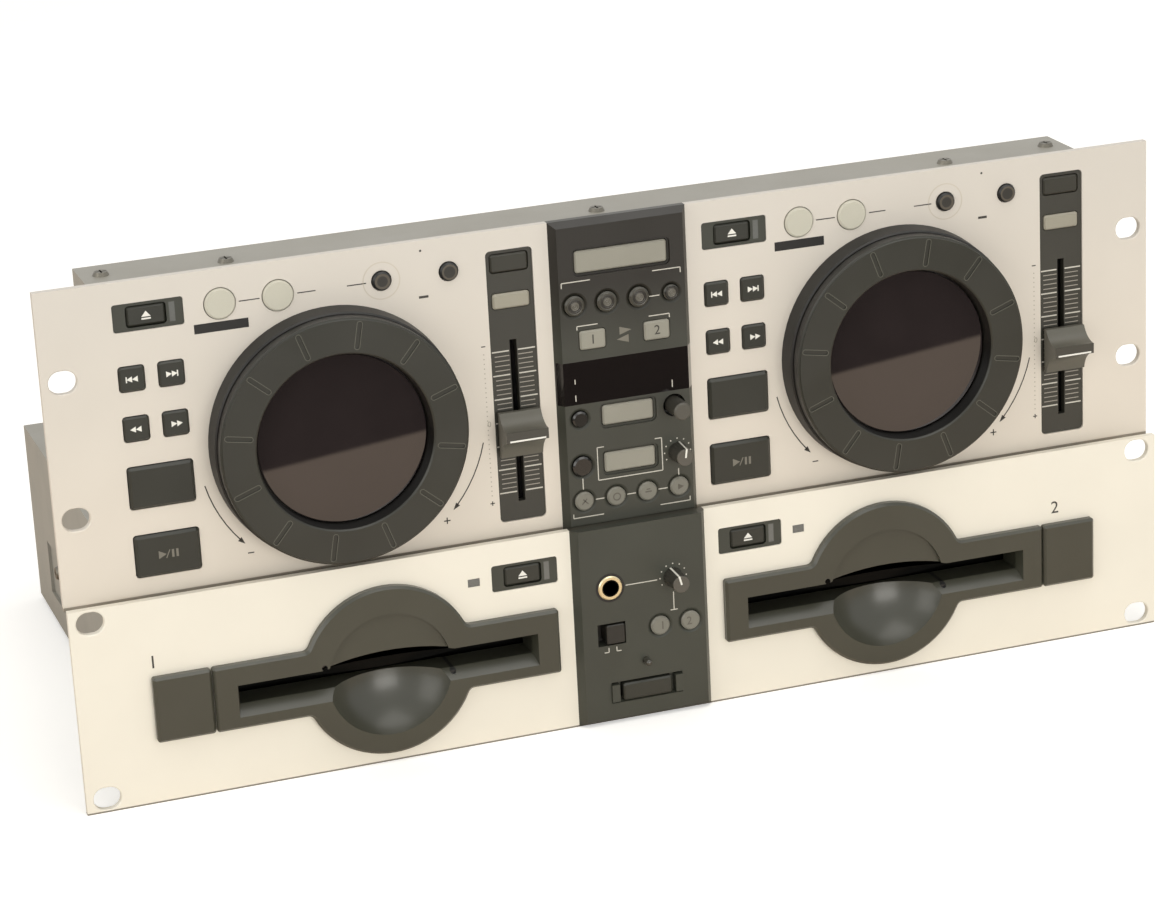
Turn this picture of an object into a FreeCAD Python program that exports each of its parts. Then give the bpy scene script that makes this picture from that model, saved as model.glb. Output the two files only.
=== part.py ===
"""A twin disc player for a disc jockey, as two 19-inch rack units in one machine.

The lower unit is the two-deck slot-loading player and the upper unit is its control desk,
which stands upright on the player's cover just behind the lip of the player's front panel.

Millimetres. X runs to the right, Y into the machine and Z up. The origin is in the middle of
the whole footprint, on the surface that the player stands on. Places on a front panel are
given as x from its middle and z from its lower edge, and a depth is counted from the panel's
front plane into the machine, so that what stands proud of the panel has a negative depth.
"""
import FreeCAD
import Part
import math
import os
from dataclasses import dataclass

V = FreeCAD.Vector

# ---------------------------------------------------------------- rack panels
RACK_WIDTH = 482.6
RACK_UNIT_HEIGHT = 44.45
PANEL_HEIGHT_RELIEF = 0.8
CONTROL_UNITS = 3
PLAYER_UNITS = 2
PANEL_THICKNESS = 3.0
SLOT_INSET = 8.75
CONTROL_SLOT_PITCH_Z = 57.15
PLAYER_SLOT_PITCH_Z = 76.2
SLOT_WIDTH = 11.5
SLOT_HEIGHT = 9.6
SLOT_BEVEL = 0.4

# ---------------------------------------------------------------- how the two units stack
CONTROL_SETBACK = 8.1
COVER_DROP = 2.2
FOOT_HEIGHT = 2.5
FOOT_RADIUS = 9.0
FOOT_INSET = 34.0

# ---------------------------------------------------------------- cases
SHEET = 1.2
PLAYER_CASE_SIDE_MARGIN = 24.6
CHASSIS_FLANGE = 10.0
CONTROL_CASE_SIDE_MARGIN = 5.75
CONTROL_CASE_DEPTH = 45.0
CONTROL_CASE_DROP = 4.5
END_CAP_WIDTH = 17.0
SIDE_DIMPLE_DEPTH = 1.4
SIDE_DIMPLE_WIDTH = 32.0
SIDE_DIMPLE_HEIGHT = 25.0
SIDE_DIMPLE_Z = 27.2
SIDE_SCREW_Z = 29.0
SIDE_SCREW_FROM_REAR = 49.0
END_SCREW_INSET = 8.5
END_SCREW_DEPTH = 29.5
TOP_SCREW_PITCH = 158.0
TOP_SCREW_DEPTH = 24.5
SCREW_HEAD_RADIUS = 3.4
SCREW_HEAD_TOP_RADIUS = 2.7
SCREW_HEAD_HEIGHT = 1.6
SCREW_CROSS_LENGTH = 4.4
SCREW_CROSS_WIDTH = 0.75
SCREW_CROSS_FLOOR = 0.65
SCREW_RADIUS = 1.5
SCREW_LENGTH = 5.0
VENT_LENGTH = 40.0
VENT_WIDTH = 4.2
VENT_PITCH = 9.0
VENT_COUNT = 7
VENT_FROM_REAR = 62.0
VENT_X = 120.0

# ---------------------------------------------------------------- centre consoles
CONSOLE_BASE_WIDTH = 59.8
CONSOLE_FRONT_WIDTH = 54.8
CONSOLE_PROUD = 3.8
CONSOLE_END_SLOPE = 2.2
CONSOLE_WINDOW_WIDTH = 54.4
CONSOLE_WINDOW_MARGIN = 5.0
CONSOLE_FIT = 0.1
BAND_BOTTOM_Z = 54.8
BAND_TOP_Z = 73.2
BAND_THICKNESS = 1.4

# ---------------------------------------------------------------- keys in general
KEY_GAP = 0.35
KEY_TRAVEL = 0.8
KEY_FLANGE_LIP = 1.1
KEY_FLANGE_THICKNESS = 1.0
KEY_SEAT_GAP = 0.3
KEY_STEM_RADIUS = 1.6
CARRIER_HEIGHT = 3.4
BOARD_DEPTH = 14.0
BOARD_THICKNESS = 1.6
SWITCH_SIDE = 6.0
SWITCH_HEIGHT = 4.0
PLUNGER_HEIGHT = 1.0
PLUNGER_RADIUS = 1.7

# ---------------------------------------------------------------- deck layout, from the jog's centre
DECK_TO_CONSOLE = 6.875
JOG_Z = 57.7
EJECT_DX = -72.6
EJECT_Z = 117.6
KEY_COLUMN_DX = -73.4
SMALL_KEY_PITCH = 16.0
TRACK_Z = 92.6
SEARCH_Z = 71.8
CUE_Z = 47.1
PLAY_Z = 18.1
LOOP_Z = 118.2
LOOP_IN_DX = -43.6
LOOP_OUT_DX = -19.8
RELOOP_DX = 23.1
TIME_MODE_DX = 51.3
FADER_DX = 77.0

# ---------------------------------------------------------------- deck keys
SMALL_KEY_SIDE = 10.2
SMALL_KEY_PROUD = 0.9
CUE_KEY_WIDTH = 26.6
CUE_KEY_HEIGHT = 17.6
CUE_KEY_PROUD = 1.5
CUE_KEY_BEVEL = 1.1
KEY_CORNER = 1.2
KEY_BEVEL = 0.7
LOOP_KEY_DIAMETER = 12.6
LOOP_KEY_PROUD = 1.2
RELOOP_KEY_DIAMETER = 7.9
RELOOP_KEY_PROUD = 1.6
TIME_KEY_DIAMETER = 7.7
TIME_KEY_PROUD = 1.6

# ---------------------------------------------------------------- eject pockets
POCKET_WIDTH = 28.7
POCKET_HEIGHT = 11.6
POCKET_CORNER = 1.2
POCKET_SINK = 0.5
POCKET_FLANGE_LIP = 1.2
POCKET_FLANGE_THICKNESS = 1.2
POCKET_FIT = 0.1
EJECT_KEY_WIDTH = 15.8
EJECT_KEY_HEIGHT = 8.3
EJECT_KEY_PROUD = 0.2
EJECT_KEY_BEVEL = 0.9
EJECT_KEY_DX = 0.4
LENS_WIDTH = 2.3
LENS_HEIGHT = 8.0
LENS_DX = 9.8
LENS_THICKNESS = 1.0

# ---------------------------------------------------------------- jog wheel
JOG_BASE_RADIUS = 53.2
JOG_SKIRT_HEIGHT = 9.0
JOG_SKIRT_WALL = 2.0
JOG_FLOOR = 1.2
JOG_HUB_RADIUS = 32.0
JOG_HUB_WALL = 2.5
JOG_HUB_HEIGHT = 7.0
JOG_PANEL_HOLE_RADIUS = 28.5
JOG_BEARING_CLEARANCE = 0.08
JOG_RUNNING_GAP = 0.3
JOG_WHEEL_RADIUS = 51.7
JOG_WHEEL_HEIGHT = 15.0
JOG_WHEEL_WALL = 1.8
JOG_SHADOW_GAP = 0.6
JOG_MOUTH_RADIUS = 37.5
JOG_WELL_RADIUS = 35.8
JOG_RIM_ROUND = 0.9
JOG_EDGE_ROUND = 0.6
JOG_WINDOW_THICKNESS = 2.0
JOG_WINDOW_GAP = 0.4
JOG_MARKS = 12
JOG_MARK_WIDTH = 1.9
JOG_MARK_DEPTH = 0.4
JOG_MARK_INNER = 38.8
JOG_MARK_OUTER = 50.2
JOG_REST_TURNS = {1: 10.5, 2: 10.0}

# ---------------------------------------------------------------- tempo fader
FADER_BED_WIDTH = 20.0
FADER_BED_BOTTOM_Z = 7.5
FADER_BED_TOP_Z = 124.0
FADER_BED_CORNER = 2.0
FADER_BED_SINK = 0.8
FADER_BED_FLANGE = 1.5
FADER_SLOT_WIDTH = 3.0
FADER_SLOT_LENGTH = 70.0
FADER_SLOT_Z = 50.6
FADER_REST_Z = 46.2
FADER_UP_TRAVEL = 34.0
FADER_DOWN_TRAVEL = 25.6
FADER_CAP_WIDTH = 18.0
FADER_CAP_LENGTH = 19.2
FADER_CAP_HEIGHT = 12.6
FADER_CAP_CREST = 4.4
FADER_CREST_LIFT = 1.6
FADER_HOLLOW_ALONG = 0.42
FADER_HOLLOW_UP = 0.26
FADER_CAP_RIM = 3.4
FADER_CAP_LIFT = 1.2
FADER_CAP_STEP = 0.5
FADER_STEM_WIDTH = 1.6
FADER_STEM_LENGTH = 5.0
FADER_TRACK_WIDTH = 9.0
FADER_TRACK_LENGTH = 90.0
FADER_TRACK_DEPTH = 8.0
FADER_STEM_REACH = 10.0
TEMPO_RANGE_Z = 118.3
TEMPO_RANGE_WIDTH = 16.0
TEMPO_RANGE_HEIGHT = 7.6
TEMPO_RANGE_PROUD = 0.6
MASTER_TEMPO_Z = 102.4
MASTER_TEMPO_WIDTH = 15.8
MASTER_TEMPO_HEIGHT = 6.4
MASTER_TEMPO_PROUD = 1.0

# ---------------------------------------------------------------- controls of the upper console
INNER_COLUMN_X = 7.0
OUTER_COLUMN_X = 21.1
AUTO_MIX_Z = 115.3
AUTO_MIX_WIDTH = 40.0
AUTO_MIX_HEIGHT = 9.4
AUTO_MIX_RECESS = 1.0
RECESS_MARGIN = 1.3
PLAY_MODE_Z = 97.2
PLAY_MODE_DIAMETER = 8.6
CLEAR_KEY_DIAMETER = 6.6
SELECT_Z = 82.1
SELECT_X = 14.05
SELECT_WIDTH = 11.2
SELECT_HEIGHT = 8.1
ROUND_KEY_PROUD = 0.9
SYNC_Z = 48.4
SYNC_WIDTH = 22.4
NEXT_KEY_DIAMETER = 6.8
ENCODER_X = 20.4
ENCODER_RADIUS = 3.8
ENCODER_HOLE_RADIUS = 4.9
ENCODER_PROUD = 14.5
ENCODER_PUSH = 0.6
ENCODER_PIN_RADIUS = 1.5
ENCODER_RUNNING_CLEARANCE = 0.05
ENCODER_BODY_RADIUS = ENCODER_HOLE_RADIUS - CONSOLE_FIT
ENCODER_BODY_DEPTH = 2.0
ENCODER_SWITCH_GAP = 0.1
SHORT_TIME_Z = 27.8
SHORT_TIME_WIDTH = 22.4
SHORT_TIME_HEIGHT = 8.6
INSTANT_KEY_DIAMETER = 8.6
MIX_MODE_Z = 12.6
MIX_MODE_DIAMETER = 8.2
KNOB_BASE_RADIUS = 4.2
KNOB_TIP_RADIUS = 3.6
MIX_KNOB_PROUD = 13.1
MIX_KNOB_TURN = 8.0
KNOB_SHAFT_RADIUS = 3.0
KNOB_FLUTES = 18
KNOB_FLUTE_RADIUS = 0.3
KNOB_POINTER_WIDTH = 0.9
KNOB_POINTER_PROUD = 0.25
COLLAR_WIDTH = 1.0
COLLAR_DEPTH = 0.6

# ---------------------------------------------------------------- player panel
SLOT_X = 111.4
SLOT_CENTRE_Z = 41.3
BEZEL_WIDTH = 148.2
BEZEL_HEIGHT = 28.2
BEZEL_ROUND_RADIUS = 36.8
BEZEL_PROUD = 3.5
BEZEL_BEVEL = 1.1
BEZEL_FILLET = 3.0
END_BLOCK_WIDTH = 24.2
END_BLOCK_GAP = 0.5
BEZEL_FIT = 0.15
BEZEL_BODY_DEPTH = 14.0
BEZEL_BODY_WALL = 3.4
MOUTH_WIDTH = 126.0
MOUTH_BOTTOM_Z = 36.5
MOUTH_TOP_Z = 46.4
MOUTH_ARCH_Z = 50.0
MOUTH_ARCH_WIDTH = 56.0
MOUTH_RAMP_Z = 32.4
MOUTH_RAMP_DEPTH = 5.0
MOUTH_END_RAMP = 1.4
SCOOP_RADIUS = 26.5
SCOOP_Z = 39.8
SCOOP_DEPTH = 15.5
SCOOP_TOP_Z = 38.0
BROW_SINK = 2.0
PIN_HOLE_RADIUS = 1.2
PIN_HOLE_DX = 27.6
PIN_HOLE_DZ = 6.0
PLAYER_EJECT_X = 50.3
PLAYER_EJECT_Z = 72.3
DISC_LENS_X = 72.4
DISC_LENS_WIDTH = 5.0
DISC_LENS_HEIGHT = 3.3

# ---------------------------------------------------------------- disc drives
DRIVE_WIDTH = 148.0
DRIVE_LENGTH = 158.0
DRIVE_REAR_GAP = 4.8
DRIVE_FRONT_DEPTH = 18.0
DRIVE_BASE_BOTTOM_Z = 10.0
DRIVE_DECK_Z = 39.6
DRIVE_CAVITY_WIDTH = 126.0
DRIVE_CAVITY_LENGTH = 140.0
DRIVE_ROOF_Z = 47.6
DRIVE_SHEET = 1.5
DRIVE_DECK_THICKNESS = 3.0
DRIVE_SILL_BOTTOM_Z = 37.4
DRIVE_SILL_TOP_Z = 41.6
DRIVE_SILL_HALF = 38.0
DRIVE_SILL_REACH = 5.0
TURNTABLE_RADIUS = 14.0
TURNTABLE_TOP_Z = 41.2
DRIVE_LEG_RADIUS = 5.0
DRIVE_LEG_INSET = 14.0

# ---------------------------------------------------------------- controls of the lower console
JACK_X = -14.5
JACK_Z = 61.5
JACK_BORE_RADIUS = 3.2
JACK_BARREL_RADIUS = 4.4
JACK_RING_RADIUS = 5.3
JACK_RING_HEIGHT = 0.8
JACK_LENGTH = 34.0
JACK_BODY_SIDE = 12.0
JACK_BODY_DEPTH = 8.0
MONITOR_KNOB_X = 13.6
MONITOR_KNOB_Z = 61.7
MONITOR_KNOB_PROUD = 14.3
MONITOR_KNOB_TURN = -15.0
OUTPUT_SWITCH_X = -14.7
OUTPUT_SWITCH_Z = 40.7
SWITCH_WINDOW_WIDTH = 12.4
SWITCH_WINDOW_HEIGHT = 9.9
SWITCH_TILE_THICKNESS = 1.2
SWITCH_NUB_WIDTH = 8.0
SWITCH_NUB_HEIGHT = 8.4
SWITCH_NUB_PROUD = 0.8
SWITCH_THROW = 3.2
MONITOR_KEY_X = 7.0
MONITOR_KEY_PITCH = 13.6
MONITOR_KEY_Z = 41.0
MONITOR_KEY_DIAMETER = 8.4
POWER_LED_Z = 26.5
POWER_LED_RADIUS = 1.5
POWER_LED_PROUD = 3.2
POWER_Z = 14.0
POWER_RECESS_WIDTH = 32.0
POWER_RECESS_HEIGHT = 9.5
POWER_RECESS_DEPTH = 2.6
POWER_PAD_WIDTH = 3.4
POWER_KEY_WIDTH = 21.8
POWER_KEY_HEIGHT = 7.6
POWER_KEY_PROUD = 3.8

# ---------------------------------------------------------------- boards and sockets inside
CONTROL_BOARD_MARGIN = 5.0
CONTROL_BOARD_SIDE_MARGIN = 12.3
POST_RADIUS = 2.5
POST_LOW_Z = 7.0
POST_HIGH_Z = 102.6
DISPLAY_RADIUS = 27.0
DISPLAY_GAP = 0.2
MAIN_BOARD_WIDTH = 250.0
MAIN_BOARD_LENGTH = 58.0
MAIN_BOARD_LIFT = 6.0
MAIN_BOARD_X = -70.0
SUPPLY_WIDTH = 66.0
SUPPLY_LENGTH = 52.0
SUPPLY_HEIGHT = 44.0
SUPPLY_X = 150.0
REAR_CLEARANCE = 8.0
INLET_WIDTH = 24.0
INLET_HEIGHT = 19.0
INLET_X = 175.0
INLET_CAVITY_DEPTH = 12.0
INLET_WALL = 3.0
PHONO_RADIUS = 4.2
PHONO_PITCH = 15.0
PHONO_X = -165.0
PHONO_PROUD = 8.0
PHONO_BORE_RADIUS = 1.8
LINK_SOCKET_RADIUS = 7.5
LINK_SOCKET_X = -60.0
LINK_SOCKET_PITCH = 40.0
SOCKET_FLANGE = 1.6
SOCKET_BODY_DEPTH = 10.0
SOCKET_WELL_DEPTH = 7.0
SOCKET_Z = 40.0
LINK_SOCKET_CONTROL_Z = 22.0

# ---------------------------------------------------------------- worked out from the above
CONTROL_HEIGHT = CONTROL_UNITS * RACK_UNIT_HEIGHT - PANEL_HEIGHT_RELIEF
PLAYER_HEIGHT = PLAYER_UNITS * RACK_UNIT_HEIGHT - PANEL_HEIGHT_RELIEF
CONTROL_BASE_Z = PLAYER_HEIGHT - COVER_DROP
DECK_RIGHT_REACH = FADER_DX + FADER_BED_WIDTH / 2
DECK_LEFT_REACH = POCKET_WIDTH / 2 - EJECT_DX
DECK_PITCH = DECK_RIGHT_REACH + DECK_LEFT_REACH + CONSOLE_BASE_WIDTH + 2 * DECK_TO_CONSOLE
CONTROL_CASE_WIDTH = DECK_PITCH + 2 * FADER_DX + FADER_BED_WIDTH + 2 * CONTROL_CASE_SIDE_MARGIN
CONTROL_BOARD_WIDTH = CONTROL_CASE_WIDTH - 2 * SHEET - 2 * CONTROL_BOARD_SIDE_MARGIN
PLAYER_CASE_WIDTH = 2 * SLOT_X + DRIVE_WIDTH + 2 * PLAYER_CASE_SIDE_MARGIN
REAR_CLEAR_DEPTH = SHEET + SOCKET_BODY_DEPTH + REAR_CLEARANCE
PLAYER_CASE_DEPTH = DRIVE_FRONT_DEPTH + DRIVE_LENGTH + DRIVE_REAR_GAP + MAIN_BOARD_LENGTH + REAR_CLEAR_DEPTH
PLAYER_FRONT_Y = (MONITOR_KNOB_PROUD - PLAYER_CASE_DEPTH - PHONO_PROUD) / 2
FLANGE_DEPTH = PANEL_THICKNESS + KEY_SEAT_GAP
STEM_END_DEPTH = BOARD_DEPTH - SWITCH_HEIGHT - PLUNGER_HEIGHT - KEY_TRAVEL - KEY_SEAT_GAP


@dataclass(frozen=True)
class Unit:
    """One rack unit: where its front panel stands and how high the panel is."""

    front_y: float
    base_z: float
    height: float

    def point(self, x, z, depth=0.0):
        """The place at x, z on the panel, this deep behind its front plane."""
        return V(x, self.front_y + depth, self.base_z + z)


PLAYER = Unit(PLAYER_FRONT_Y, 0.0, PLAYER_HEIGHT)
CONTROL = Unit(PLAYER_FRONT_Y + CONTROL_SETBACK, CONTROL_BASE_Z, CONTROL_HEIGHT)
DECKS = {1: -DECK_PITCH / 2, 2: DECK_PITCH / 2}
SIDES = {1: -1, 2: 1}


# ---------------------------------------------------------------- shape helpers
def rounded_wire(width, height, corner):
    """A closed outline in the XZ plane, centred on the origin, with round corners."""
    half_w = width / 2
    half_h = height / 2
    radius = min(corner, half_w, half_h)
    if radius <= 0:
        corners = [V(-half_w, 0, -half_h), V(half_w, 0, -half_h),
                   V(half_w, 0, half_h), V(-half_w, 0, half_h)]
        return Part.makePolygon(corners + corners[:1])
    arcs = []
    for quarter, (sign_x, sign_z) in enumerate(((1, 1), (-1, 1), (-1, -1), (1, -1))):
        centre = V(sign_x * (half_w - radius), 0, sign_z * (half_h - radius))
        turn = [math.pi / 4 * (2 * quarter + step) for step in range(3)]
        arcs.append([centre + V(math.cos(a) * radius, 0, math.sin(a) * radius) for a in turn])
    edges = []
    for arc, following in zip(arcs, arcs[1:] + arcs[:1]):
        edges.append(Part.Arc(*arc).toShape())
        if arc[2].distanceToPoint(following[0]) > 1e-6:
            edges.append(Part.LineSegment(arc[2], following[0]).toShape())
    return Part.Wire(edges)


def prism(unit, x, z, width, height, near, far, corner=0.0):
    """A bar with a rounded-rectangle section that runs into the machine from near to far."""
    face = Part.Face(rounded_wire(width, height, corner))
    face.translate(unit.point(x, z, near))
    return face.extrude(V(0, far - near, 0))


def rod(unit, x, z, radius, near, far):
    """A round bar that runs into the machine from near to far."""
    return Part.makeCylinder(radius, far - near, unit.point(x, z, near), V(0, 1, 0))


def turned(unit, x, z, profile):
    """A turned solid about the line through x, z; profile is (radius, depth) corners."""
    corners = [unit.point(x + radius, z, depth) for radius, depth in profile]
    face = Part.Face(Part.makePolygon(corners + corners[:1]))
    return face.revolve(unit.point(x, z), V(0, 1, 0), 360)


def bevel_front(solid, near_y, size):
    """Bevels every edge of the solid that lies in the plane y = near_y."""
    edges = [edge for edge in solid.Edges
             if edge.BoundBox.YLength < 1e-4 and abs(edge.BoundBox.YMin - near_y) < 1e-4]
    return solid.makeChamfer(size, edges)


def fuse(first, *others):
    """One solid from several that meet."""
    return first.fuse(list(others)).removeSplitter()


def group(solids):
    """Several separate solids that share one node."""
    return Part.makeCompound(list(solids))


# ---------------------------------------------------------------- keys
@dataclass(frozen=True)
class Cap:
    """The visible head of a key: round when its height is left at nought."""

    x: float
    z: float
    width: float
    height: float = 0.0
    proud: float = ROUND_KEY_PROUD
    corner: float = KEY_CORNER
    bevel: float = KEY_BEVEL

    def bar(self, unit, near, far, margin=0.0):
        """The cap's outline, grown by a margin, as a bar from near to far."""
        if self.height:
            corner = max(self.corner + margin, 0)
            return prism(unit, self.x, self.z, self.width + 2 * margin, self.height + 2 * margin,
                         near, far, corner)
        return rod(unit, self.x, self.z, self.width / 2 + margin, near, far)

    def hole(self, unit, near, far):
        """The opening that the cap runs in."""
        return self.bar(unit, near, far, KEY_GAP)


def key(unit, caps, surface=0.0, seat=FLANGE_DEPTH):
    """A push key: its caps, the flange that keeps them in, the carrier bar and the stems.

    The caps of one moulding share a carrier bar, which runs straight from the first to the last.
    """
    back = seat + KEY_FLANGE_THICKNESS
    parts = []
    for cap in caps:
        near = surface - cap.proud
        parts.append(bevel_front(cap.bar(unit, near, seat), unit.front_y + near, cap.bevel))
        parts.append(cap.bar(unit, seat, back, KEY_FLANGE_LIP))
        parts.append(rod(unit, cap.x, cap.z, KEY_STEM_RADIUS, back, STEM_END_DEPTH))
    first, last = caps[0], caps[-1]
    if first is not last:
        width = max(abs(last.x - first.x), CARRIER_HEIGHT)
        height = max(abs(last.z - first.z), CARRIER_HEIGHT)
        middle_x = (first.x + last.x) / 2
        middle_z = (first.z + last.z) / 2
        parts.append(prism(unit, middle_x, middle_z, width, height, seat, back))
    return fuse(*parts)


def deck_caps(deck_x):
    """Every cap of one deck of the control panel, by the node that it belongs to."""
    column = deck_x + KEY_COLUMN_DX
    half = SMALL_KEY_PITCH / 2
    small = {"width": SMALL_KEY_SIDE, "height": SMALL_KEY_SIDE, "proud": SMALL_KEY_PROUD}
    wide = {"width": CUE_KEY_WIDTH, "height": CUE_KEY_HEIGHT, "proud": CUE_KEY_PROUD, "bevel": CUE_KEY_BEVEL}
    return {
        "track_back_key": [Cap(column - half, TRACK_Z, **small)],
        "track_forward_key": [Cap(column + half, TRACK_Z, **small)],
        "search_back_key": [Cap(column - half, SEARCH_Z, **small)],
        "search_forward_key": [Cap(column + half, SEARCH_Z, **small)],
        "cue_key": [Cap(column, CUE_Z, **wide)],
        "play_key": [Cap(column, PLAY_Z, **wide)],
        "loop_keys": [
            Cap(deck_x + LOOP_IN_DX, LOOP_Z, LOOP_KEY_DIAMETER, proud=LOOP_KEY_PROUD),
            Cap(deck_x + LOOP_OUT_DX, LOOP_Z, LOOP_KEY_DIAMETER, proud=LOOP_KEY_PROUD),
            Cap(deck_x + RELOOP_DX, LOOP_Z, RELOOP_KEY_DIAMETER, proud=RELOOP_KEY_PROUD),
        ],
        "time_mode_key": [Cap(deck_x + TIME_MODE_DX, LOOP_Z, TIME_KEY_DIAMETER, proud=TIME_KEY_PROUD)],
    }


def tempo_caps(deck_x):
    """The two keys at the head of a tempo fader, which run in the fader's bed."""
    x = deck_x + FADER_DX
    return [
        Cap(x, TEMPO_RANGE_Z, TEMPO_RANGE_WIDTH, TEMPO_RANGE_HEIGHT, TEMPO_RANGE_PROUD),
        Cap(x, MASTER_TEMPO_Z, MASTER_TEMPO_WIDTH, MASTER_TEMPO_HEIGHT, MASTER_TEMPO_PROUD),
    ]


def console_caps():
    """Every cap of the upper console, by node."""
    columns = (-OUTER_COLUMN_X, -INNER_COLUMN_X, INNER_COLUMN_X, OUTER_COLUMN_X)
    modes = [Cap(x, PLAY_MODE_Z, PLAY_MODE_DIAMETER) for x in columns[:3]]
    modes.append(Cap(columns[3], PLAY_MODE_Z, CLEAR_KEY_DIAMETER))
    return {
        "auto_mix_key": [Cap(0, AUTO_MIX_Z, AUTO_MIX_WIDTH, AUTO_MIX_HEIGHT)],
        "play_mode_keys": modes,
        "deck_select_keys": [Cap(x, SELECT_Z, SELECT_WIDTH, SELECT_HEIGHT) for x in (-SELECT_X, SELECT_X)],
        "next_key": [Cap(-OUTER_COLUMN_X, SYNC_Z, NEXT_KEY_DIAMETER)],
        "tempo_sync_key": [Cap(0, SYNC_Z, SYNC_WIDTH, SHORT_TIME_HEIGHT)],
        "instant_change_key": [Cap(-OUTER_COLUMN_X, SHORT_TIME_Z, INSTANT_KEY_DIAMETER)],
        "short_time_key": [Cap(0, SHORT_TIME_Z, SHORT_TIME_WIDTH, SHORT_TIME_HEIGHT)],
        "mix_mode_keys": [Cap(x, MIX_MODE_Z, MIX_MODE_DIAMETER) for x in columns],
    }


def monitor_caps():
    """The two monitor keys of the lower console."""
    return [Cap(MONITOR_KEY_X + step * MONITOR_KEY_PITCH, MONITOR_KEY_Z, MONITOR_KEY_DIAMETER)
            for step in (0, 1)]


def power_cap():
    """The power key, whose flange and stem are as a small key's."""
    return Cap(0, POWER_Z, POWER_KEY_WIDTH, POWER_KEY_HEIGHT, POWER_KEY_PROUD)


# ---------------------------------------------------------------- eject pockets
POCKET_SEAT = PANEL_THICKNESS + POCKET_FLANGE_THICKNESS + KEY_SEAT_GAP


def pocket_places():
    """Each eject pocket's node number, unit and place."""
    places = [("eject_key_%d" % deck, CONTROL, x + EJECT_DX, EJECT_Z) for deck, x in DECKS.items()]
    places += [("player_eject_key_%d" % deck, PLAYER, side * PLAYER_EJECT_X, PLAYER_EJECT_Z)
               for deck, side in SIDES.items()]
    return places


def eject_cap(x, z):
    """The eject key of the pocket at x, z."""
    return Cap(x + EJECT_KEY_DX - LENS_WIDTH / 2, z, EJECT_KEY_WIDTH, EJECT_KEY_HEIGHT, EJECT_KEY_PROUD,
               bevel=EJECT_KEY_BEVEL)


def pocket_hole(unit, x, z):
    """The opening in a panel that a pocket is pushed into from behind."""
    return prism(unit, x, z, POCKET_WIDTH, POCKET_HEIGHT, -1, PANEL_THICKNESS + 1, POCKET_CORNER)


def lens_bar(unit, x, z, margin=0.0):
    """The indicator bar let into the pocket's face beside its key."""
    near = POCKET_SINK - margin
    return prism(unit, x + LENS_DX, z, LENS_WIDTH, LENS_HEIGHT, near, POCKET_SINK + LENS_THICKNESS)


def eject_pocket(unit, x, z):
    """A moulded pocket: a sunk face in the panel's opening and a flange behind the panel."""
    width = POCKET_WIDTH - 2 * POCKET_FIT
    height = POCKET_HEIGHT - 2 * POCKET_FIT
    back = PANEL_THICKNESS + POCKET_FLANGE_THICKNESS
    face = prism(unit, x, z, width, height, POCKET_SINK, PANEL_THICKNESS, POCKET_CORNER)
    flange = prism(unit, x, z, POCKET_WIDTH + 2 * POCKET_FLANGE_LIP, POCKET_HEIGHT + 2 * POCKET_FLANGE_LIP,
                   PANEL_THICKNESS, back, POCKET_CORNER)
    body = fuse(face, flange)
    return body.cut([eject_cap(x, z).hole(unit, -1, back + 1), lens_bar(unit, x, z, POCKET_SINK)])


# ---------------------------------------------------------------- front panels
def rack_panel(unit, pitch_z):
    """A rack panel with its four slotted fixing holes, bevelled at the front."""
    panel = prism(unit, 0, unit.height / 2, RACK_WIDTH, unit.height, 0, PANEL_THICKNESS)
    slots = []
    for side in (-1, 1):
        for row in (-1, 1):
            x = side * (RACK_WIDTH / 2 - SLOT_INSET)
            z = unit.height / 2 + row * pitch_z / 2
            corner = SLOT_HEIGHT / 2
            slots.append(prism(unit, x, z, SLOT_WIDTH, SLOT_HEIGHT, -1, PANEL_THICKNESS + 1, corner))
            wide = Part.Face(rounded_wire(SLOT_WIDTH + 2 * SLOT_BEVEL, SLOT_HEIGHT + 2 * SLOT_BEVEL,
                                          corner + SLOT_BEVEL)).OuterWire
            narrow = rounded_wire(SLOT_WIDTH, SLOT_HEIGHT, corner)
            wide.translate(unit.point(x, z, 0))
            narrow.translate(unit.point(x, z, SLOT_BEVEL))
            slots.append(Part.makeLoft([wide, narrow], True, True))
    return panel.cut(slots)


def console_window(unit):
    """The opening in a panel that its console plugs into."""
    height = unit.height - 2 * CONSOLE_WINDOW_MARGIN
    return prism(unit, 0, unit.height / 2, CONSOLE_WINDOW_WIDTH, height, -1, PANEL_THICKNESS + 1)


def fader_bed_outline(deck_x, near, far, margin=0.0):
    """A bar with the outline of a fader's bed, grown by a margin."""
    height = FADER_BED_TOP_Z - FADER_BED_BOTTOM_Z
    middle = (FADER_BED_TOP_Z + FADER_BED_BOTTOM_Z) / 2
    return prism(CONTROL, deck_x + FADER_DX, middle, FADER_BED_WIDTH + 2 * margin, height + 2 * margin,
                 near, far, FADER_BED_CORNER)


def control_panel():
    """The upper front panel, cut for the console, the jogs, the faders and the keys."""
    cuts = [console_window(CONTROL)]
    through = PANEL_THICKNESS + 1
    for deck_x in DECKS.values():
        cuts.append(rod(CONTROL, deck_x, JOG_Z, JOG_PANEL_HOLE_RADIUS, -1, through))
        cuts.append(fader_bed_outline(deck_x, -1, through))
        cuts.append(pocket_hole(CONTROL, deck_x + EJECT_DX, EJECT_Z))
        for caps in deck_caps(deck_x).values():
            cuts += [cap.hole(CONTROL, -1, through) for cap in caps]
    return rack_panel(CONTROL, CONTROL_SLOT_PITCH_Z).cut(cuts)


def disc_lens(x, margin=0.0):
    """The small disc indicator let into the player panel."""
    return prism(PLAYER, x, PLAYER_EJECT_Z, DISC_LENS_WIDTH + 2 * margin, DISC_LENS_HEIGHT + 2 * margin,
                 0, PANEL_THICKNESS)


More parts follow.
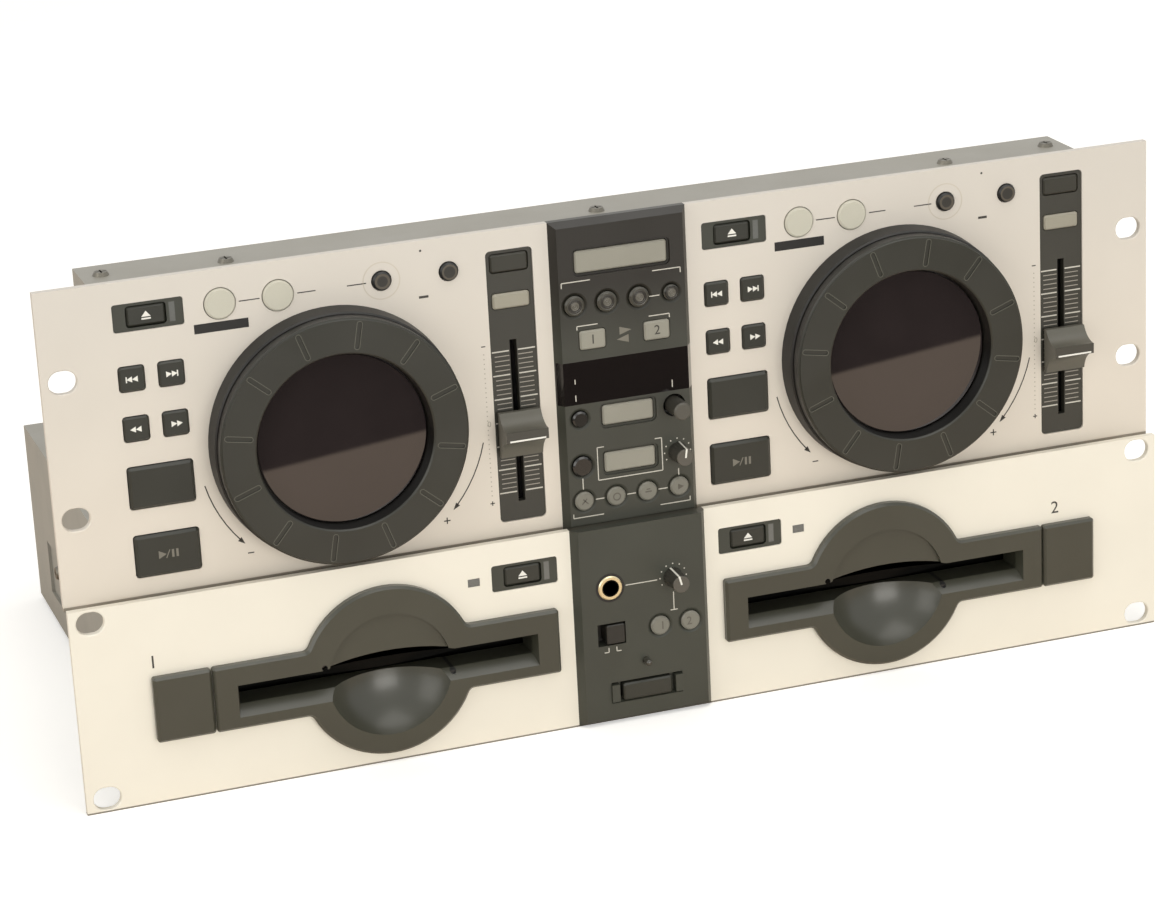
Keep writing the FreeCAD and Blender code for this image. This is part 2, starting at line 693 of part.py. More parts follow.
def player_panel():
    """The lower front panel, cut for the console, the disc mouths, the pockets and the indicators."""
    cuts = [console_window(PLAYER)]
    for side in SIDES.values():
        cuts.append(bezel_body(side * SLOT_X, -1, PANEL_THICKNESS + 1, BEZEL_FIT))
        cuts.append(pocket_hole(PLAYER, side * PLAYER_EJECT_X, PLAYER_EJECT_Z))
        cuts.append(disc_lens(side * DISC_LENS_X, POCKET_FIT))
    return rack_panel(PLAYER, PLAYER_SLOT_PITCH_Z).cut(cuts)


# ---------------------------------------------------------------- cases of folded sheet
def along_x(unit, x_low, x_high, outline):
    """A bar along X whose section is a list of (depth, z) corners."""
    corners = [unit.point(x_low, z, depth) for depth, z in outline]
    return Part.Face(Part.makePolygon(corners + corners[:1])).extrude(V(x_high - x_low, 0, 0))


def case_section(depth_near, depth_far, z_low, z_high, inset=0.0):
    """The (depth, z) corners of a case, open towards the panel when it is inset."""
    return [(depth_near, z_low + inset), (depth_far - inset, z_low + inset),
            (depth_far - inset, z_high - inset), (depth_near, z_high - inset)]


CONTROL_CASE_TOP_Z = CONTROL_HEIGHT - CONTROL_CASE_DROP
END_CAP_INNER_X = CONTROL_CASE_WIDTH / 2 - END_CAP_WIDTH


def control_back_cover():
    """The sheet that closes the control desk behind: its top, back and bottom in one fold."""
    outer = along_x(CONTROL, -END_CAP_INNER_X, END_CAP_INNER_X,
                    case_section(PANEL_THICKNESS, CONTROL_CASE_DEPTH, 0, CONTROL_CASE_TOP_Z))
    inner = along_x(CONTROL, -END_CAP_INNER_X, END_CAP_INNER_X,
                    case_section(PANEL_THICKNESS, CONTROL_CASE_DEPTH, 0, CONTROL_CASE_TOP_Z, SHEET))
    cuts = [inner]
    cuts += [screw.hole() for screw in desk_top_screws() if abs(screw.place.x) < END_CAP_INNER_X]
    cuts += [socket.hole() for socket in link_sockets(CONTROL)]
    return outer.cut(cuts)


def control_end_caps():
    """The two caps that close the ends of the desk, each folded over the top, back and bottom."""
    caps = []
    for side in (-1, 1):
        ends = sorted((side * END_CAP_INNER_X, side * CONTROL_CASE_WIDTH / 2))
        hollow = sorted((side * END_CAP_INNER_X, side * (CONTROL_CASE_WIDTH / 2 - SHEET)))
        section = case_section(PANEL_THICKNESS, CONTROL_CASE_DEPTH, 0, CONTROL_CASE_TOP_Z)
        open_section = case_section(PANEL_THICKNESS, CONTROL_CASE_DEPTH, 0, CONTROL_CASE_TOP_Z, SHEET)
        cap = along_x(CONTROL, *ends, section).cut(along_x(CONTROL, *hollow, open_section))
        cuts = [screw.hole() for screw in desk_top_screws() if ends[0] < screw.place.x < ends[1]]
        caps.append(cap.cut(cuts))
    return group(caps)


COVER_TOP_Z = CONTROL_BASE_Z
CHASSIS_BOTTOM_Z = FOOT_HEIGHT
PLAYER_SIDE_X = PLAYER_CASE_WIDTH / 2


def player_box(x_half, near, far, z_low, z_high):
    """A block across the player, centred on it, from one depth and height to another."""
    return prism(PLAYER, 0, (z_low + z_high) / 2, 2 * x_half, z_high - z_low, near, far)


def side_dimple(side, depth_from, depth_to, margin=0.0):
    """A block over the pressed rectangle of one side, between two depths below that side."""
    width = SIDE_DIMPLE_WIDTH + 2 * margin
    height = SIDE_DIMPLE_HEIGHT + 2 * margin
    y = PLAYER.front_y + PLAYER_CASE_DEPTH - SIDE_SCREW_FROM_REAR
    low_x = min(side * (PLAYER_SIDE_X - depth_from), side * (PLAYER_SIDE_X - depth_to))
    return Part.makeBox(depth_to - depth_from, width, height,
                        V(low_x, y - width / 2, SIDE_DIMPLE_Z - height / 2))


def player_top_cover():
    """The folded cover: top and both sides, with vents and a pressed dimple at each side screw."""
    near = PANEL_THICKNESS
    far = PLAYER_CASE_DEPTH - SHEET
    outer = player_box(PLAYER_SIDE_X, near, far, CHASSIS_BOTTOM_Z, COVER_TOP_Z)
    inner = player_box(PLAYER_SIDE_X - SHEET, near, far, CHASSIS_BOTTOM_Z, COVER_TOP_Z - SHEET)
    cover = outer.cut(inner)
    cuts = cover_vents()
    for side in SIDES.values():
        cover = cover.fuse(side_dimple(side, SHEET, SIDE_DIMPLE_DEPTH + SHEET, SHEET))
        cuts.append(side_dimple(side, -SHEET, SIDE_DIMPLE_DEPTH))
    cuts += [screw.hole() for screw in side_screws()]
    return cover.cut(cuts).removeSplitter()


def cover_vents():
    """Two banks of cooling slots across the rear of the cover."""
    vents = []
    for side in SIDES.values():
        for step in range(VENT_COUNT):
            x = side * VENT_X + (step - (VENT_COUNT - 1) / 2) * VENT_PITCH
            y = PLAYER.front_y + PLAYER_CASE_DEPTH - VENT_FROM_REAR
            slot = Part.Face(rounded_wire(VENT_WIDTH, VENT_LENGTH, VENT_WIDTH / 2))
            slot.rotate(V(0, 0, 0), V(1, 0, 0), 90)
            slot.translate(V(x, y, COVER_TOP_Z - 2 * SHEET))
            vents.append(slot.extrude(V(0, 0, 3 * SHEET)))
    return vents


def player_chassis():
    """The tray under the cover: floor, rear wall, side flanges and four pressed feet."""
    near = PANEL_THICKNESS
    half = PLAYER_SIDE_X - SHEET
    top = COVER_TOP_Z - SHEET
    floor = player_box(half, near, PLAYER_CASE_DEPTH, CHASSIS_BOTTOM_Z, CHASSIS_BOTTOM_Z + SHEET)
    rear = player_box(PLAYER_SIDE_X, PLAYER_CASE_DEPTH - SHEET, PLAYER_CASE_DEPTH,
                      CHASSIS_BOTTOM_Z, COVER_TOP_Z)
    flanges = []
    for side in SIDES.values():
        low_x = side * half - (SHEET if side > 0 else 0)
        origin = V(low_x, PLAYER.front_y + near, CHASSIS_BOTTOM_Z)
        flanges.append(Part.makeBox(SHEET, PLAYER_CASE_DEPTH - near, CHASSIS_FLANGE, origin))
    feet = []
    for side in SIDES.values():
        for y in (PLAYER.front_y + FOOT_INSET, PLAYER.front_y + PLAYER_CASE_DEPTH - FOOT_INSET):
            x = side * (PLAYER_SIDE_X - FOOT_INSET)
            feet.append(Part.makeCone(FOOT_RADIUS - FOOT_HEIGHT / 2, FOOT_RADIUS, FOOT_HEIGHT, V(x, y, 0)))
    tray = fuse(floor, rear, *flanges, *feet)
    cuts = [socket.hole() for socket in rear_openings()]
    return tray.cut(cuts)


# ---------------------------------------------------------------- screws
@dataclass(frozen=True)
class Screw:
    """A pan-head screw: the face it is driven into and the way that its head points."""

    place: V
    out: V

    def solid(self):
        """The head on the face and the shank in the sheet."""
        head = Part.makeCone(SCREW_HEAD_RADIUS, SCREW_HEAD_TOP_RADIUS, SCREW_HEAD_HEIGHT,
                             self.place, self.out)
        shank = Part.makeCylinder(SCREW_RADIUS, SCREW_LENGTH, self.place, -self.out)
        turn = FreeCAD.Placement(self.place, FreeCAD.Rotation(V(0, 0, 1), self.out))
        cross = []
        for angle in (0, 90):
            bar = Part.makeBox(SCREW_CROSS_LENGTH, SCREW_CROSS_WIDTH, SCREW_HEAD_HEIGHT,
                               V(-SCREW_CROSS_LENGTH / 2, -SCREW_CROSS_WIDTH / 2, SCREW_CROSS_FLOOR))
            bar.rotate(V(0, 0, 0), V(0, 0, 1), angle)
            bar.Placement = turn.multiply(bar.Placement)
            cross.append(bar)
        return head.fuse(shank).cut(cross)

    def hole(self):
        """The clearance hole for the shank."""
        start = self.place + self.out * SCREW_HEAD_HEIGHT
        length = SCREW_LENGTH + 2 * SCREW_HEAD_HEIGHT
        return Part.makeCylinder(SCREW_RADIUS + POCKET_FIT, length, start, -self.out)


def desk_top_screws():
    """The screws along the top of the control desk."""
    end_x = CONTROL_CASE_WIDTH / 2 - END_SCREW_INSET
    places = [(side * end_x, END_SCREW_DEPTH) for side in (-1, 1)]
    places += [(step * TOP_SCREW_PITCH, TOP_SCREW_DEPTH) for step in (-1, 0, 1)]
    return [Screw(CONTROL.point(x, CONTROL_CASE_TOP_Z, depth), V(0, 0, 1)) for x, depth in places]


def side_screws():
    """The screw in the dimple on each side of the player."""
    depth = PLAYER_CASE_DEPTH - SIDE_SCREW_FROM_REAR
    x = PLAYER_SIDE_X - SIDE_DIMPLE_DEPTH
    return [Screw(PLAYER.point(side * x, SIDE_SCREW_Z, depth), V(side, 0, 0))
            for side in SIDES.values()]


def case_screws():
    """All the visible screws of both cases."""
    return group(screw.solid() for screw in desk_top_screws() + side_screws())


# ---------------------------------------------------------------- consoles
def console_shell(unit, top_slope, bottom_slope):
    """The raised block in the middle of a panel, with sloped sides and ends, and its plug."""
    half_base = CONSOLE_BASE_WIDTH / 2
    half_front = CONSOLE_FRONT_WIDTH / 2
    front = -CONSOLE_PROUD
    corners = [unit.point(-half_base, 0, 0), unit.point(half_base, 0, 0),
               unit.point(half_front, 0, front), unit.point(-half_front, 0, front)]
    block = Part.Face(Part.makePolygon(corners + corners[:1])).extrude(V(0, 0, unit.height))
    for z, slope in ((unit.height, top_slope), (0, bottom_slope)):
        if slope:
            inward = slope if z == 0 else -slope
            outline = [(0, z), (front, z + inward), (front - 1, z + inward),
                       (front - 1, z - inward), (0, z - inward)]
            wedge = along_x(unit, -RACK_WIDTH, RACK_WIDTH, outline)
            block = block.cut(wedge)
    height = unit.height - 2 * CONSOLE_WINDOW_MARGIN - 2 * CONSOLE_FIT
    plug_width = CONSOLE_WINDOW_WIDTH - 2 * CONSOLE_FIT
    plug = prism(unit, 0, unit.height / 2, plug_width, height, 0, PANEL_THICKNESS)
    return fuse(block, plug)


def display_band():
    """The smoked strip wrapped round the upper console, over its front and both sloped sides."""
    half_base = CONSOLE_BASE_WIDTH / 2
    half_front = CONSOLE_FRONT_WIDTH / 2
    front = -CONSOLE_PROUD
    thick = BAND_THICKNESS
    outline = [(-half_base, 0), (-half_front, front), (half_front, front), (half_base, 0),
               (half_base - thick, 0), (half_front - thick, front + thick),
               (-half_front + thick, front + thick), (-half_base + thick, 0)]
    corners = [CONTROL.point(x, BAND_BOTTOM_Z, depth) for x, depth in outline]
    return Part.Face(Part.makePolygon(corners + corners[:1])).extrude(V(0, 0, BAND_TOP_Z - BAND_BOTTOM_Z))


def collar(unit, cap, surface):
    """The shallow ring sunk round a round key."""
    radius = cap.width / 2 + KEY_GAP
    return turned(unit, cap.x, cap.z, [(0, surface - 1), (radius + COLLAR_WIDTH, surface - 1),
                                       (radius + COLLAR_WIDTH, surface), (radius, surface + COLLAR_DEPTH),
                                       (0, surface + COLLAR_DEPTH)])


def control_console():
    """The upper console, with its key holes, recesses and the seat of the display band."""
    surface = -CONSOLE_PROUD
    through = PANEL_THICKNESS + 1
    cuts = [display_band()]
    for caps in console_caps().values():
        for cap in caps:
            cuts.append(cap.hole(CONTROL, surface - 1, through))
            if not cap.height:
                cuts.append(collar(CONTROL, cap, surface))
            elif cap.width > SELECT_WIDTH:
                cuts.append(cap.bar(CONTROL, surface - 1, surface + AUTO_MIX_RECESS, RECESS_MARGIN))
    cuts.append(rod(CONTROL, ENCODER_X, SYNC_Z, ENCODER_HOLE_RADIUS, surface - 1, through))
    shaft_hole = KNOB_SHAFT_RADIUS + KEY_GAP
    cuts.append(rod(CONTROL, OUTER_COLUMN_X, SHORT_TIME_Z, shaft_hole, surface - 1, through))
    return console_shell(CONTROL, CONSOLE_END_SLOPE, 0).cut(cuts)


def switch_window(near, far, margin=0.0):
    """The output switch's window in the lower console."""
    return prism(PLAYER, OUTPUT_SWITCH_X, OUTPUT_SWITCH_Z, SWITCH_WINDOW_WIDTH + 2 * margin,
                 SWITCH_WINDOW_HEIGHT + 2 * margin, near, far)


def power_led(margin=0.0):
    """The stand-by lamp above the power key: a small barrel with a domed end."""
    radius = POWER_LED_RADIUS + margin
    barrel = rod(PLAYER, 0, POWER_LED_Z, radius, -CONSOLE_PROUD - POWER_LED_PROUD, PANEL_THICKNESS)
    dome = Part.makeSphere(radius, PLAYER.point(0, POWER_LED_Z, -CONSOLE_PROUD - POWER_LED_PROUD))
    return fuse(barrel, dome)


def player_console():
    """The lower console, with the jack, knob, switch and key openings and the power recess."""
    surface = -CONSOLE_PROUD
    through = PANEL_THICKNESS + 1
    floor = surface + POWER_RECESS_DEPTH
    high = POWER_Z + POWER_RECESS_HEIGHT / 2
    low = POWER_Z - POWER_RECESS_HEIGHT / 2
    recess = along_x(PLAYER, -POWER_RECESS_WIDTH / 2, POWER_RECESS_WIDTH / 2,
                     [(surface - 1, high), (floor, high), (floor, low + 1),
                      (surface, low), (surface - 1, low)])
    cuts = [recess, power_cap().hole(PLAYER, surface - 1, through),
            rod(PLAYER, JACK_X, JACK_Z, JACK_BARREL_RADIUS + CONSOLE_FIT, surface - 1, through),
            rod(PLAYER, MONITOR_KNOB_X, MONITOR_KNOB_Z, KNOB_SHAFT_RADIUS + KEY_GAP, surface - 1, through),
            switch_window(surface - 1, through), power_led(POCKET_FIT)]
    for cap in monitor_caps():
        cuts.append(cap.hole(PLAYER, surface - 1, through))
        cuts.append(collar(PLAYER, cap, surface))
    pads = []
    for side in SIDES.values():
        x = side * (POWER_RECESS_WIDTH - POWER_PAD_WIDTH) / 2
        pads.append(prism(PLAYER, x, POWER_Z, POWER_PAD_WIDTH, POWER_KEY_HEIGHT,
                          floor - POWER_KEY_PROUD, floor))
    return fuse(console_shell(PLAYER, 0, CONSOLE_END_SLOPE).cut(cuts), *pads)


# ---------------------------------------------------------------- jogs
def jog_base(deck_x):
    """The fixed skirt, floor and hub of a jog, in one moulding."""
    outer = JOG_BASE_RADIUS
    top = -JOG_SKIRT_HEIGHT
    inner = outer - JOG_SKIRT_WALL
    hub_inner = JOG_HUB_RADIUS - JOG_HUB_WALL
    soft = JOG_EDGE_ROUND
    return turned(CONTROL, deck_x, JOG_Z, [
        (outer, 0), (outer - soft, top + soft), (outer - 2 * soft, top), (inner - soft, top),
        (inner, -JOG_FLOOR), (JOG_HUB_RADIUS, -JOG_FLOOR), (JOG_HUB_RADIUS, -JOG_HUB_HEIGHT),
        (hub_inner, -JOG_HUB_HEIGHT), (hub_inner, 0)])


def jog_window(deck_x):
    """The smoked window that lies on the hub and keeps the wheel on it."""
    radius = JOG_WELL_RADIUS - JOG_WINDOW_GAP
    near = -JOG_HUB_HEIGHT - JOG_WINDOW_THICKNESS
    window = rod(CONTROL, deck_x, JOG_Z, radius, near, -JOG_HUB_HEIGHT)
    return bevel_front(window, CONTROL.front_y + near, JOG_WINDOW_GAP)


def jog_mark(deck_x, turn):
    """A shallow round-ended mark sunk in the top of the wheel, turned clockwise from the top."""
    length = JOG_MARK_OUTER - JOG_MARK_INNER
    middle = (JOG_MARK_OUTER + JOG_MARK_INNER) / 2
    top = -JOG_WHEEL_HEIGHT
    mark = prism(CONTROL, deck_x, JOG_Z + middle, JOG_MARK_WIDTH, length, top - 1, top + JOG_MARK_DEPTH,
                 JOG_MARK_WIDTH / 2)
    mark.rotate(CONTROL.point(deck_x, JOG_Z), V(0, 1, 0), turn)
    return mark


def jog_wheel(deck_x, rest_turn):
    """The turning wheel: a hollow ring that runs on the hub with its sleeve."""
    outer = JOG_WHEEL_RADIUS
    top = -JOG_WHEEL_HEIGHT
    roof = top + JOG_WHEEL_WALL
    bore = JOG_HUB_RADIUS + JOG_BEARING_CLEARANCE
    sleeve_top = -JOG_HUB_HEIGHT + JOG_RUNNING_GAP
    sleeve_end = -JOG_FLOOR - JOG_RUNNING_GAP
    sleeve_outer = JOG_MOUTH_RADIUS + JOG_WHEEL_WALL
    rim_end = -JOG_SKIRT_HEIGHT - JOG_SHADOW_GAP
    soft = JOG_EDGE_ROUND
    wheel = turned(CONTROL, deck_x, JOG_Z, [
        (bore, sleeve_end), (bore, sleeve_top), (JOG_WELL_RADIUS, sleeve_top),
        (JOG_WELL_RADIUS, -JOG_HUB_HEIGHT - JOG_WINDOW_THICKNESS), (JOG_MOUTH_RADIUS - soft, top + soft),
        (JOG_MOUTH_RADIUS, top), (outer - JOG_RIM_ROUND, top), (outer - soft, top + soft),
        (outer, top + JOG_RIM_ROUND), (outer, rim_end), (outer - JOG_WHEEL_WALL, rim_end),
        (outer - JOG_WHEEL_WALL, roof), (sleeve_outer, roof), (sleeve_outer, sleeve_end)])
    return wheel.cut([jog_mark(deck_x, rest_turn + index * 360 / JOG_MARKS) for index in range(JOG_MARKS)])


# ---------------------------------------------------------------- tempo faders
FADER_SEAT = PANEL_THICKNESS + FADER_BED_FLANGE + KEY_SEAT_GAP


def fader_bed(deck_x):
    """The inset strip that a fader runs on, with its lever slot and the two key holes."""
    back = PANEL_THICKNESS + FADER_BED_FLANGE
    plate = fader_bed_outline(deck_x, FADER_BED_SINK, PANEL_THICKNESS, -POCKET_FIT)
    flange = fader_bed_outline(deck_x, PANEL_THICKNESS, back, FADER_BED_FLANGE)
    slot = prism(CONTROL, deck_x + FADER_DX, FADER_SLOT_Z, FADER_SLOT_WIDTH, FADER_SLOT_LENGTH, -1, back + 1)
    return fuse(plate, flange).cut([slot] + [cap.hole(CONTROL, -1, back + 1) for cap in tempo_caps(deck_x)])


def tempo_fader(deck_x):
    """The fader's cap, hollowed on both slopes up to a flat crest, on its lever."""
    x = deck_x + FADER_DX
    half = FADER_CAP_LENGTH / 2
    crest_low = FADER_CREST_LIFT - FADER_CAP_CREST / 2
    crest_high = FADER_CREST_LIFT + FADER_CAP_CREST / 2
    low = -FADER_CAP_LIFT
    rim = -FADER_CAP_RIM
    top = -FADER_CAP_HEIGHT
    step = top + FADER_CAP_STEP
    hollow = rim + (top - rim) * FADER_HOLLOW_UP

    def corner(z, depth):
        return CONTROL.point(x - FADER_CAP_WIDTH / 2, FADER_REST_Z + z, depth)

    def slope(foot, crest):
        middle = crest + (foot - crest) * FADER_HOLLOW_ALONG
        return Part.Arc(corner(foot, rim), corner(middle, hollow), corner(crest, step)).toShape()

    def line(start, end):
        return Part.LineSegment(corner(*start), corner(*end)).toShape()

    outline = Part.Wire([
        line((-half, low), (-half, rim)), slope(-half, crest_low),
        line((crest_low, step), (crest_low, top)), line((crest_low, top), (crest_high, top)),
        line((crest_high, top), (crest_high, step)), slope(half, crest_high),
        line((half, rim), (half, low)), line((half, low), (-half, low))])
    cap = Part.Face(outline).extrude(V(FADER_CAP_WIDTH, 0, 0))
    lever = prism(CONTROL, x, FADER_REST_Z, FADER_STEM_WIDTH, FADER_STEM_LENGTH, low, FADER_STEM_REACH)
    return fuse(cap, lever)


def fader_track(deck_x):
    """The slide control behind the bed, open along its front for the lever."""
    near = BOARD_DEPTH - FADER_TRACK_DEPTH
    x = deck_x + FADER_DX
    body = prism(CONTROL, x, FADER_SLOT_Z, FADER_TRACK_WIDTH, FADER_TRACK_LENGTH, near, BOARD_DEPTH)
    slot_end = FADER_STEM_REACH + 1
    return body.cut(prism(CONTROL, x, FADER_SLOT_Z, FADER_SLOT_WIDTH, FADER_SLOT_LENGTH, near - 1, slot_end))


# ---------------------------------------------------------------- knobs, encoder and switch
def knob_cone(unit, x, z, proud, margin=0.0):
    """The tapered outline of a knob, grown by a margin, from its tip to just off the console."""
    height = proud - CONSOLE_PROUD - KEY_SEAT_GAP
    return Part.makeCone(KNOB_TIP_RADIUS + margin, KNOB_BASE_RADIUS + margin, height + margin,
                         unit.point(x, z, -proud - margin), V(0, 1, 0))


def knob(unit, x, z, proud, turn):
    """A finely fluted tapered knob on its shaft, with a pointer rib up its side and to its middle."""
    body = bevel_front(knob_cone(unit, x, z, proud), unit.front_y - proud, KNOB_POINTER_PROUD)
    flutes = []
    for index in range(KNOB_FLUTES):
        angle = 2 * math.pi * index / KNOB_FLUTES
        flute_x = x + KNOB_BASE_RADIUS * math.cos(angle)
        flute_z = z + KNOB_BASE_RADIUS * math.sin(angle)
        flutes.append(rod(unit, flute_x, flute_z, KNOB_FLUTE_RADIUS, -proud, 0))
    plate = prism(unit, x, z + KNOB_BASE_RADIUS, KNOB_POINTER_WIDTH, 2 * KNOB_BASE_RADIUS, -proud - 1, 0)
    pointer = knob_cone(unit, x, z, proud, KNOB_POINTER_PROUD).common(plate)
    pointer.rotate(unit.point(x, z), V(0, 1, 0), turn)
    shaft = rod(unit, x, z, KNOB_SHAFT_RADIUS, -CONSOLE_PROUD - KEY_SEAT_GAP - 1,
                BOARD_DEPTH - SWITCH_HEIGHT - 1)
    return fuse(body.cut(flutes), pointer, shaft)


def encoder_body():
    """The encoder's round body on the board, which guides its plunger and the foot of its knob."""
    body = rod(CONTROL, ENCODER_X, SYNC_Z, ENCODER_BODY_RADIUS, ENCODER_BODY_DEPTH, BOARD_DEPTH)
    bore_radius = ENCODER_RADIUS + JOG_RUNNING_GAP
    bore = rod(CONTROL, ENCODER_X, SYNC_Z, bore_radius, ENCODER_BODY_DEPTH - 1, BOARD_DEPTH + 1)
    side = SWITCH_SIDE + 2 * ENCODER_SWITCH_GAP
    return body.cut([bore, prism(CONTROL, ENCODER_X, SYNC_Z, side, side, STEM_END_DEPTH, BOARD_DEPTH + 1)])


def encoder_plunger():
    """The pin inside the browse encoder that is pushed in and that its knob turns on."""
    pin = rod(CONTROL, ENCODER_X, SYNC_Z, ENCODER_PIN_RADIUS, PANEL_THICKNESS, STEM_END_DEPTH)
    collar_near = STEM_END_DEPTH - KEY_FLANGE_THICKNESS
    return fuse(pin, rod(CONTROL, ENCODER_X, SYNC_Z, ENCODER_RADIUS, collar_near, STEM_END_DEPTH))


def encoder_knob():
    """The tall plain knob of the browse encoder, bored from behind for the plunger's pin."""
    near = -ENCODER_PROUD
    far = STEM_END_DEPTH - KEY_FLANGE_THICKNESS - KEY_SEAT_GAP
    body = rod(CONTROL, ENCODER_X, SYNC_Z, ENCODER_RADIUS, near, far)
    body = bevel_front(body, CONTROL.front_y + near, KEY_BEVEL)
    bore = rod(CONTROL, ENCODER_X, SYNC_Z, ENCODER_PIN_RADIUS + ENCODER_RUNNING_CLEARANCE,
               PANEL_THICKNESS - KEY_SEAT_GAP, far + 1)
    return body.cut(bore)


def output_switch():
    """The slide switch's tile, wider than its window, and the nub that the finger moves."""
    surface = -CONSOLE_PROUD
    x = OUTPUT_SWITCH_X + SWITCH_THROW / 2
    seat = FLANGE_DEPTH
    tile = prism(PLAYER, x, OUTPUT_SWITCH_Z, SWITCH_WINDOW_WIDTH + SWITCH_THROW + 2 * KEY_FLANGE_LIP,
                 SWITCH_WINDOW_HEIGHT + 2 * KEY_FLANGE_LIP, seat, seat + SWITCH_TILE_THICKNESS)
    near = surface - SWITCH_NUB_PROUD
    nub = prism(PLAYER, x, OUTPUT_SWITCH_Z, SWITCH_NUB_WIDTH, SWITCH_NUB_HEIGHT, near, seat, KEY_BEVEL)
    return fuse(tile, bevel_front(nub, PLAYER.front_y + near, KEY_BEVEL / 2))


def phones_jack():
    """The headphone socket: a plated ring and barrel in front, and the socket's body behind."""
    surface = -CONSOLE_PROUD
    near = surface - JACK_RING_HEIGHT
    barrel = rod(PLAYER, JACK_X, JACK_Z, JACK_BARREL_RADIUS, surface, JACK_BODY_DEPTH)
    ring = bevel_front(rod(PLAYER, JACK_X, JACK_Z, JACK_RING_RADIUS, near, surface), PLAYER.front_y + near,
                       JACK_RING_HEIGHT / 2)
    body = prism(PLAYER, JACK_X, JACK_Z, JACK_BODY_SIDE, JACK_BODY_SIDE, PANEL_THICKNESS, near + JACK_LENGTH)
    bore = rod(PLAYER, JACK_X, JACK_Z, JACK_BORE_RADIUS, near - 1, near + JACK_LENGTH - SOCKET_FLANGE)
    return fuse(barrel, ring, body).cut(bore)


# ---------------------------------------------------------------- disc mouths
def bezel_body(x, near, far, margin=0.0):
    """The part of a mouth's bezel that passes through the panel, grown by a margin."""
    wall = BEZEL_BODY_WALL
    width = MOUTH_WIDTH + 2 * wall
    low = MOUTH_RAMP_Z - wall / 2
    high = MOUTH_TOP_Z + wall
    bar = prism(PLAYER, x, (low + high) / 2, width + 2 * margin, high - low + 2 * margin, near, far)
    drum = rod(PLAYER, x, SCOOP_Z, SCOOP_RADIUS + wall + margin, near, far)
    return fuse(bar, drum)


def bezel_face(x):
    """The raised front of a bezel: a bar with a round boss in its middle."""
    near = -BEZEL_PROUD
    bar = prism(PLAYER, x, SLOT_CENTRE_Z, BEZEL_WIDTH, BEZEL_HEIGHT, near, 0, KEY_CORNER)
    boss = rod(PLAYER, x, SLOT_CENTRE_Z, BEZEL_ROUND_RADIUS, near, 0)
    face = fuse(bar, boss)
    joints = [edge for edge in face.Edges
              if edge.BoundBox.XLength < 1e-4 and edge.BoundBox.ZLength < 1e-4
              and abs(edge.Vertexes[0].X - x) < BEZEL_ROUND_RADIUS]
    face = face.makeFillet(BEZEL_FILLET, joints)
    return bevel_front(face, PLAYER.front_y + near, BEZEL_BEVEL)


def mouth_opening(x):
    """The disc's way through the bezel: a long slot that arches up over the scoop."""
    near = -BEZEL_PROUD - 1
    far = BEZEL_BODY_DEPTH + 1
    slot = prism(PLAYER, x, (MOUTH_BOTTOM_Z + MOUTH_TOP_Z) / 2, MOUTH_WIDTH,
                 MOUTH_TOP_Z - MOUTH_BOTTOM_Z, near, far)
    half = MOUTH_ARCH_WIDTH / 2
    ends = [PLAYER.point(x - half, MOUTH_TOP_Z, near), PLAYER.point(x + half, MOUTH_TOP_Z, near)]
    arch = Part.Wire([Part.Arc(ends[0], PLAYER.point(x, MOUTH_ARCH_Z, near), ends[1]).toShape(),
                      Part.LineSegment(ends[1], ends[0]).toShape()])
    return [slot, Part.Face(arch).extrude(V(0, far - near, 0))]


def mouth_ramp(x):
    """The sloped lead-in under the slot and at its two ends, as one pyramid-sided cut."""
    near = -BEZEL_PROUD
    wires = []
    for depth, end, low in ((near, MOUTH_END_RAMP, MOUTH_RAMP_Z),
                            (near + MOUTH_RAMP_DEPTH, 0, MOUTH_BOTTOM_Z)):
        wire = rounded_wire(MOUTH_WIDTH + 2 * end, MOUTH_TOP_Z - low, 0)
        wire.translate(PLAYER.point(x, (MOUTH_TOP_Z + low) / 2, depth))
        wires.append(wire)
    return Part.makeLoft(wires, True, True)


def finger_scoop(x):
    """The ball-shaped scoop below the slot, where a finger reaches the edge of the disc."""
    sphere_radius = (SCOOP_RADIUS ** 2 + SCOOP_DEPTH ** 2) / (2 * SCOOP_DEPTH)
    centre = PLAYER.point(x, SCOOP_Z, -BEZEL_PROUD + SCOOP_DEPTH - sphere_radius)
    ball = Part.makeSphere(sphere_radius, centre)
    reach = 2 * sphere_radius
    below = Part.makeBox(2 * reach, 2 * reach, reach, V(x - reach, centre.y - reach, SCOOP_TOP_Z - reach))
    return ball.common(below)


def slot_brow(x):
    """The shallow half-round sunk above the slot."""
    near = -BEZEL_PROUD
    disc = rod(PLAYER, x, SCOOP_Z, SCOOP_RADIUS, near - 1, near + BROW_SINK)
    reach = 2 * SCOOP_RADIUS
    above = Part.makeBox(2 * reach, reach, reach, PLAYER.point(x - reach, MOUTH_BOTTOM_Z, near - 2))
    return disc.common(above)


def slot_bezel(side):
    """One disc mouth: bezel, slot, lead-in ramp, finger scoop, brow and its two pin holes."""
    x = side * SLOT_X
    solid = fuse(bezel_face(x), bezel_body(x, 0, BEZEL_BODY_DEPTH))
    pins = [rod(PLAYER, x + sign * PIN_HOLE_DX, (MOUTH_BOTTOM_Z + MOUTH_TOP_Z) / 2 - sign * PIN_HOLE_DZ,
                PIN_HOLE_RADIUS, -BEZEL_PROUD - 1, 0) for sign in (-1, 1)]
    return solid.cut(mouth_opening(x) + [mouth_ramp(x), finger_scoop(x), slot_brow(x)] + pins)


